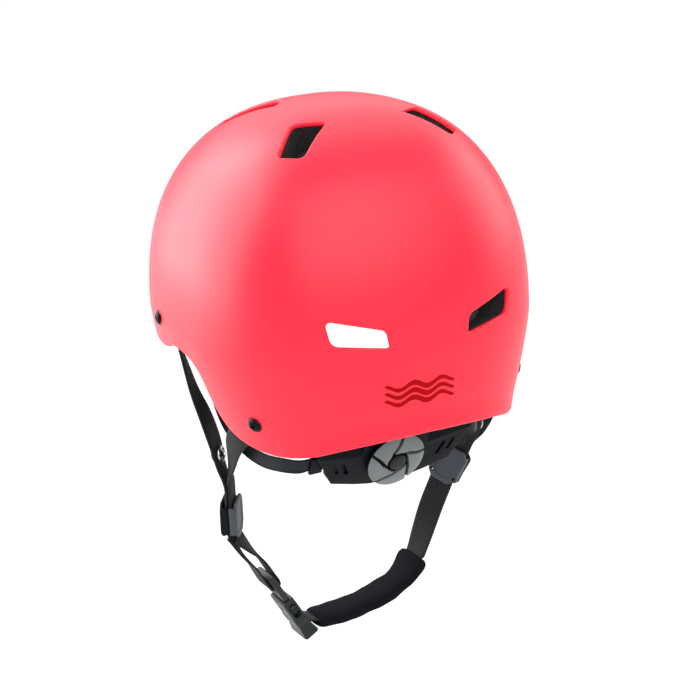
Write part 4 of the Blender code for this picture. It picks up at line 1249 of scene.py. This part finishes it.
def make_mark():
    """A generic mark in place of the printed one: three stacked waves in darker ink."""
    verts, faces = [], []
    steps, width, lift = 120, 0.72, 0.12 * MM
    for row in (-1, 0, 1):
        first = len(verts)
        for k in range(steps + 1):
            share = 2 * k / steps - 1
            x = MARK_CENTRE[0] + share * MARK_WIDTH / 2
            wave = MARK_CENTRE[1] + row * 4.6 + 1.7 * math.sin(share * math.pi * 2.5)
            taper = width * (2.4 - abs(share)) * min(1.0, (1 - abs(share)) * 14 + 0.05)
            for edge in (taper, -taper):
                bearing = math.atan2(REAR_REACH, x * MM)
                for repeat in range(4):
                    reach = spot(bearing, (wave + edge) * MM)
                    bearing += (reach.x - x * MM) / math.hypot(reach.x, reach.y)
                for level in (-0.3 * MM, lift):
                    out = spot_normal(bearing, (wave + edge) * MM)
                    verts.append(spot(bearing, (wave + edge) * MM) + out * level)
        rows = steps + 1
        ring = [0, 1, 3, 2]
        for k in range(rows - 1):
            a = first + 4 * k
            for i in range(4):
                j = (i + 1) % 4
                faces.append((a + ring[i], a + ring[j], a + 4 + ring[j], a + 4 + ring[i]))
        faces.append(tuple(first + i for i in ring))
        faces.append(tuple(first + 4 * (rows - 1) + i for i in reversed(ring)))
    mark = add_object("printed_waves", verts, faces, 80)
    put(mark, "root", "shell", INK)


# ---- scene ----
CAMERA_TARGET = over_girth((2.2, 4.2, -25.9))
CAMERA_BACK = (152.18, 18.18)  # degrees round from the front and up
CAMERA_ROLL = math.radians(-2.3)
CAMERA_DISTANCE = 1.2936
CAMERA_LENS = 108.24
WORLD_LIGHT = 0.22
FLOOR_WASH = 1.3
FLOOR_GLOW = 0.66
FLOOR_DEPTH = 0.75       # the floor's distance below the origin
WASH_BEYOND = 5.0        # the floor wash stands this far behind the helmet
WASH_HEIGHT = 1.9
WASH_SIZE = (9, 8)
# Name, degrees round from the camera and above the horizon, distance, size in metres, radiance.
LIGHTS = [("box_left", -106, 22, 1.75, (2.3, 2.2), 4.6),
          ("box_right", 114, 19, 1.7, (1.2, 1.2), 3.2),
          ("fill_front", 20, 38, 2.2, (3.4, 2.4), 2.6),
          ("box_top", 180, 75, 1.8, (2.0, 1.2), 0.8)]


def towards(azimuth, elevation):
    """Direction from the helmet, in degrees round from the front and up."""
    turn, rise = math.radians(azimuth), math.radians(elevation)
    return Vector((math.sin(turn) * math.cos(rise), -math.cos(turn) * math.cos(rise),
                   math.sin(rise)))


def make_camera():
    back = towards(*CAMERA_BACK)
    right = (-back).cross(Vector((0, 0, 1))).normalized()
    up = right.cross(-back)
    rolled_right = right * math.cos(CAMERA_ROLL) + up * math.sin(CAMERA_ROLL)
    rolled_up = up * math.cos(CAMERA_ROLL) - right * math.sin(CAMERA_ROLL)
    turn = Matrix((rolled_right, rolled_up, back)).transposed().to_4x4()
    data = bpy.data.cameras.new("camera")
    data.lens = CAMERA_LENS
    data.sensor_width = 36
    data.clip_start = 0.05
    camera = linked("camera", data)
    camera.matrix_world = Matrix.Translation(CAMERA_TARGET + back * CAMERA_DISTANCE) @ turn
    bpy.context.scene.camera = camera


def make_light(name, place, target, size, radiance):
    """An area light at place that faces target; radiance 1 looks white."""
    data = bpy.data.lights.new(name, "AREA")
    data.shape = "RECTANGLE"
    data.size, data.size_y = size
    data.energy = radiance * math.pi * size[0] * size[1]
    light = linked(name, data)
    light.location = place
    light.rotation_euler = (Vector(place) - Vector(target)).to_track_quat("Z", "Y").to_euler()


def make_studio():
    """Pale floor, a large soft box on the left, weaker ones in front, at the right and above."""
    world = bpy.data.worlds.new("studio")
    bpy.context.scene.world = world
    world.use_nodes = True
    sky = world.node_tree.nodes["Background"]
    sky.inputs["Color"].default_value = (1, 1, 1, 1)
    sky.inputs["Strength"].default_value = WORLD_LIGHT
    bm = bmesh.new()
    bmesh.ops.create_grid(bm, x_segments=1, y_segments=1, size=16)
    floor = from_bmesh("floor", bm, Matrix.Translation((0, 0, -FLOOR_DEPTH)))
    paint = Paint("floor_pale", (0.3, 0.3, 0.3), 0.9, Specular_IOR_Level=0.1,
                  Emission_Color=(1, 1, 1, 1), Emission_Strength=FLOOR_GLOW)
    floor.data.materials.append(paint.material)
    middle = Vector((0, 0, GIRTH_Z))
    for name, bearing, elevation, distance, size, radiance in LIGHTS:
        place = towards(CAMERA_BACK[0] + bearing, elevation) * distance + middle
        make_light(name, place, middle, size, radiance)
    beyond = towards(CAMERA_BACK[0], 0) * -WASH_BEYOND
    make_light("floor_wash", beyond + Vector((0, 0, WASH_HEIGHT)),
               beyond - Vector((0, 0, FLOOR_DEPTH)), WASH_SIZE, FLOOR_WASH)
    bpy.context.scene.view_settings.view_transform = "Standard"


def paint_frame():
    """The CAD nodes that stay on show: their material, and rounded edges."""
    slots = {part["node"]: part["material_slot"] for part in frame["record"]["subparts"]}
    for node, item in frame["nodes"].items():
        item.data.materials.clear()
        item.data.materials.append(PAINTS[slots[node]])
        if not item.hide_render:
            modifier = item.modifiers.new("edges", "BEVEL")
            modifier.width = 0.2 * MM
            modifier.segments = 2


make_camera()
make_studio()
whole_form = make_shell()
make_liner(whole_form)
make_pads()
make_upper_harness()
make_dividers()
make_lower_straps()
make_chin_pad()
make_buckle()
make_housing()
make_cradle_pad()
make_racks()
make_dial()
make_bands()
make_mark()
paint_frame()
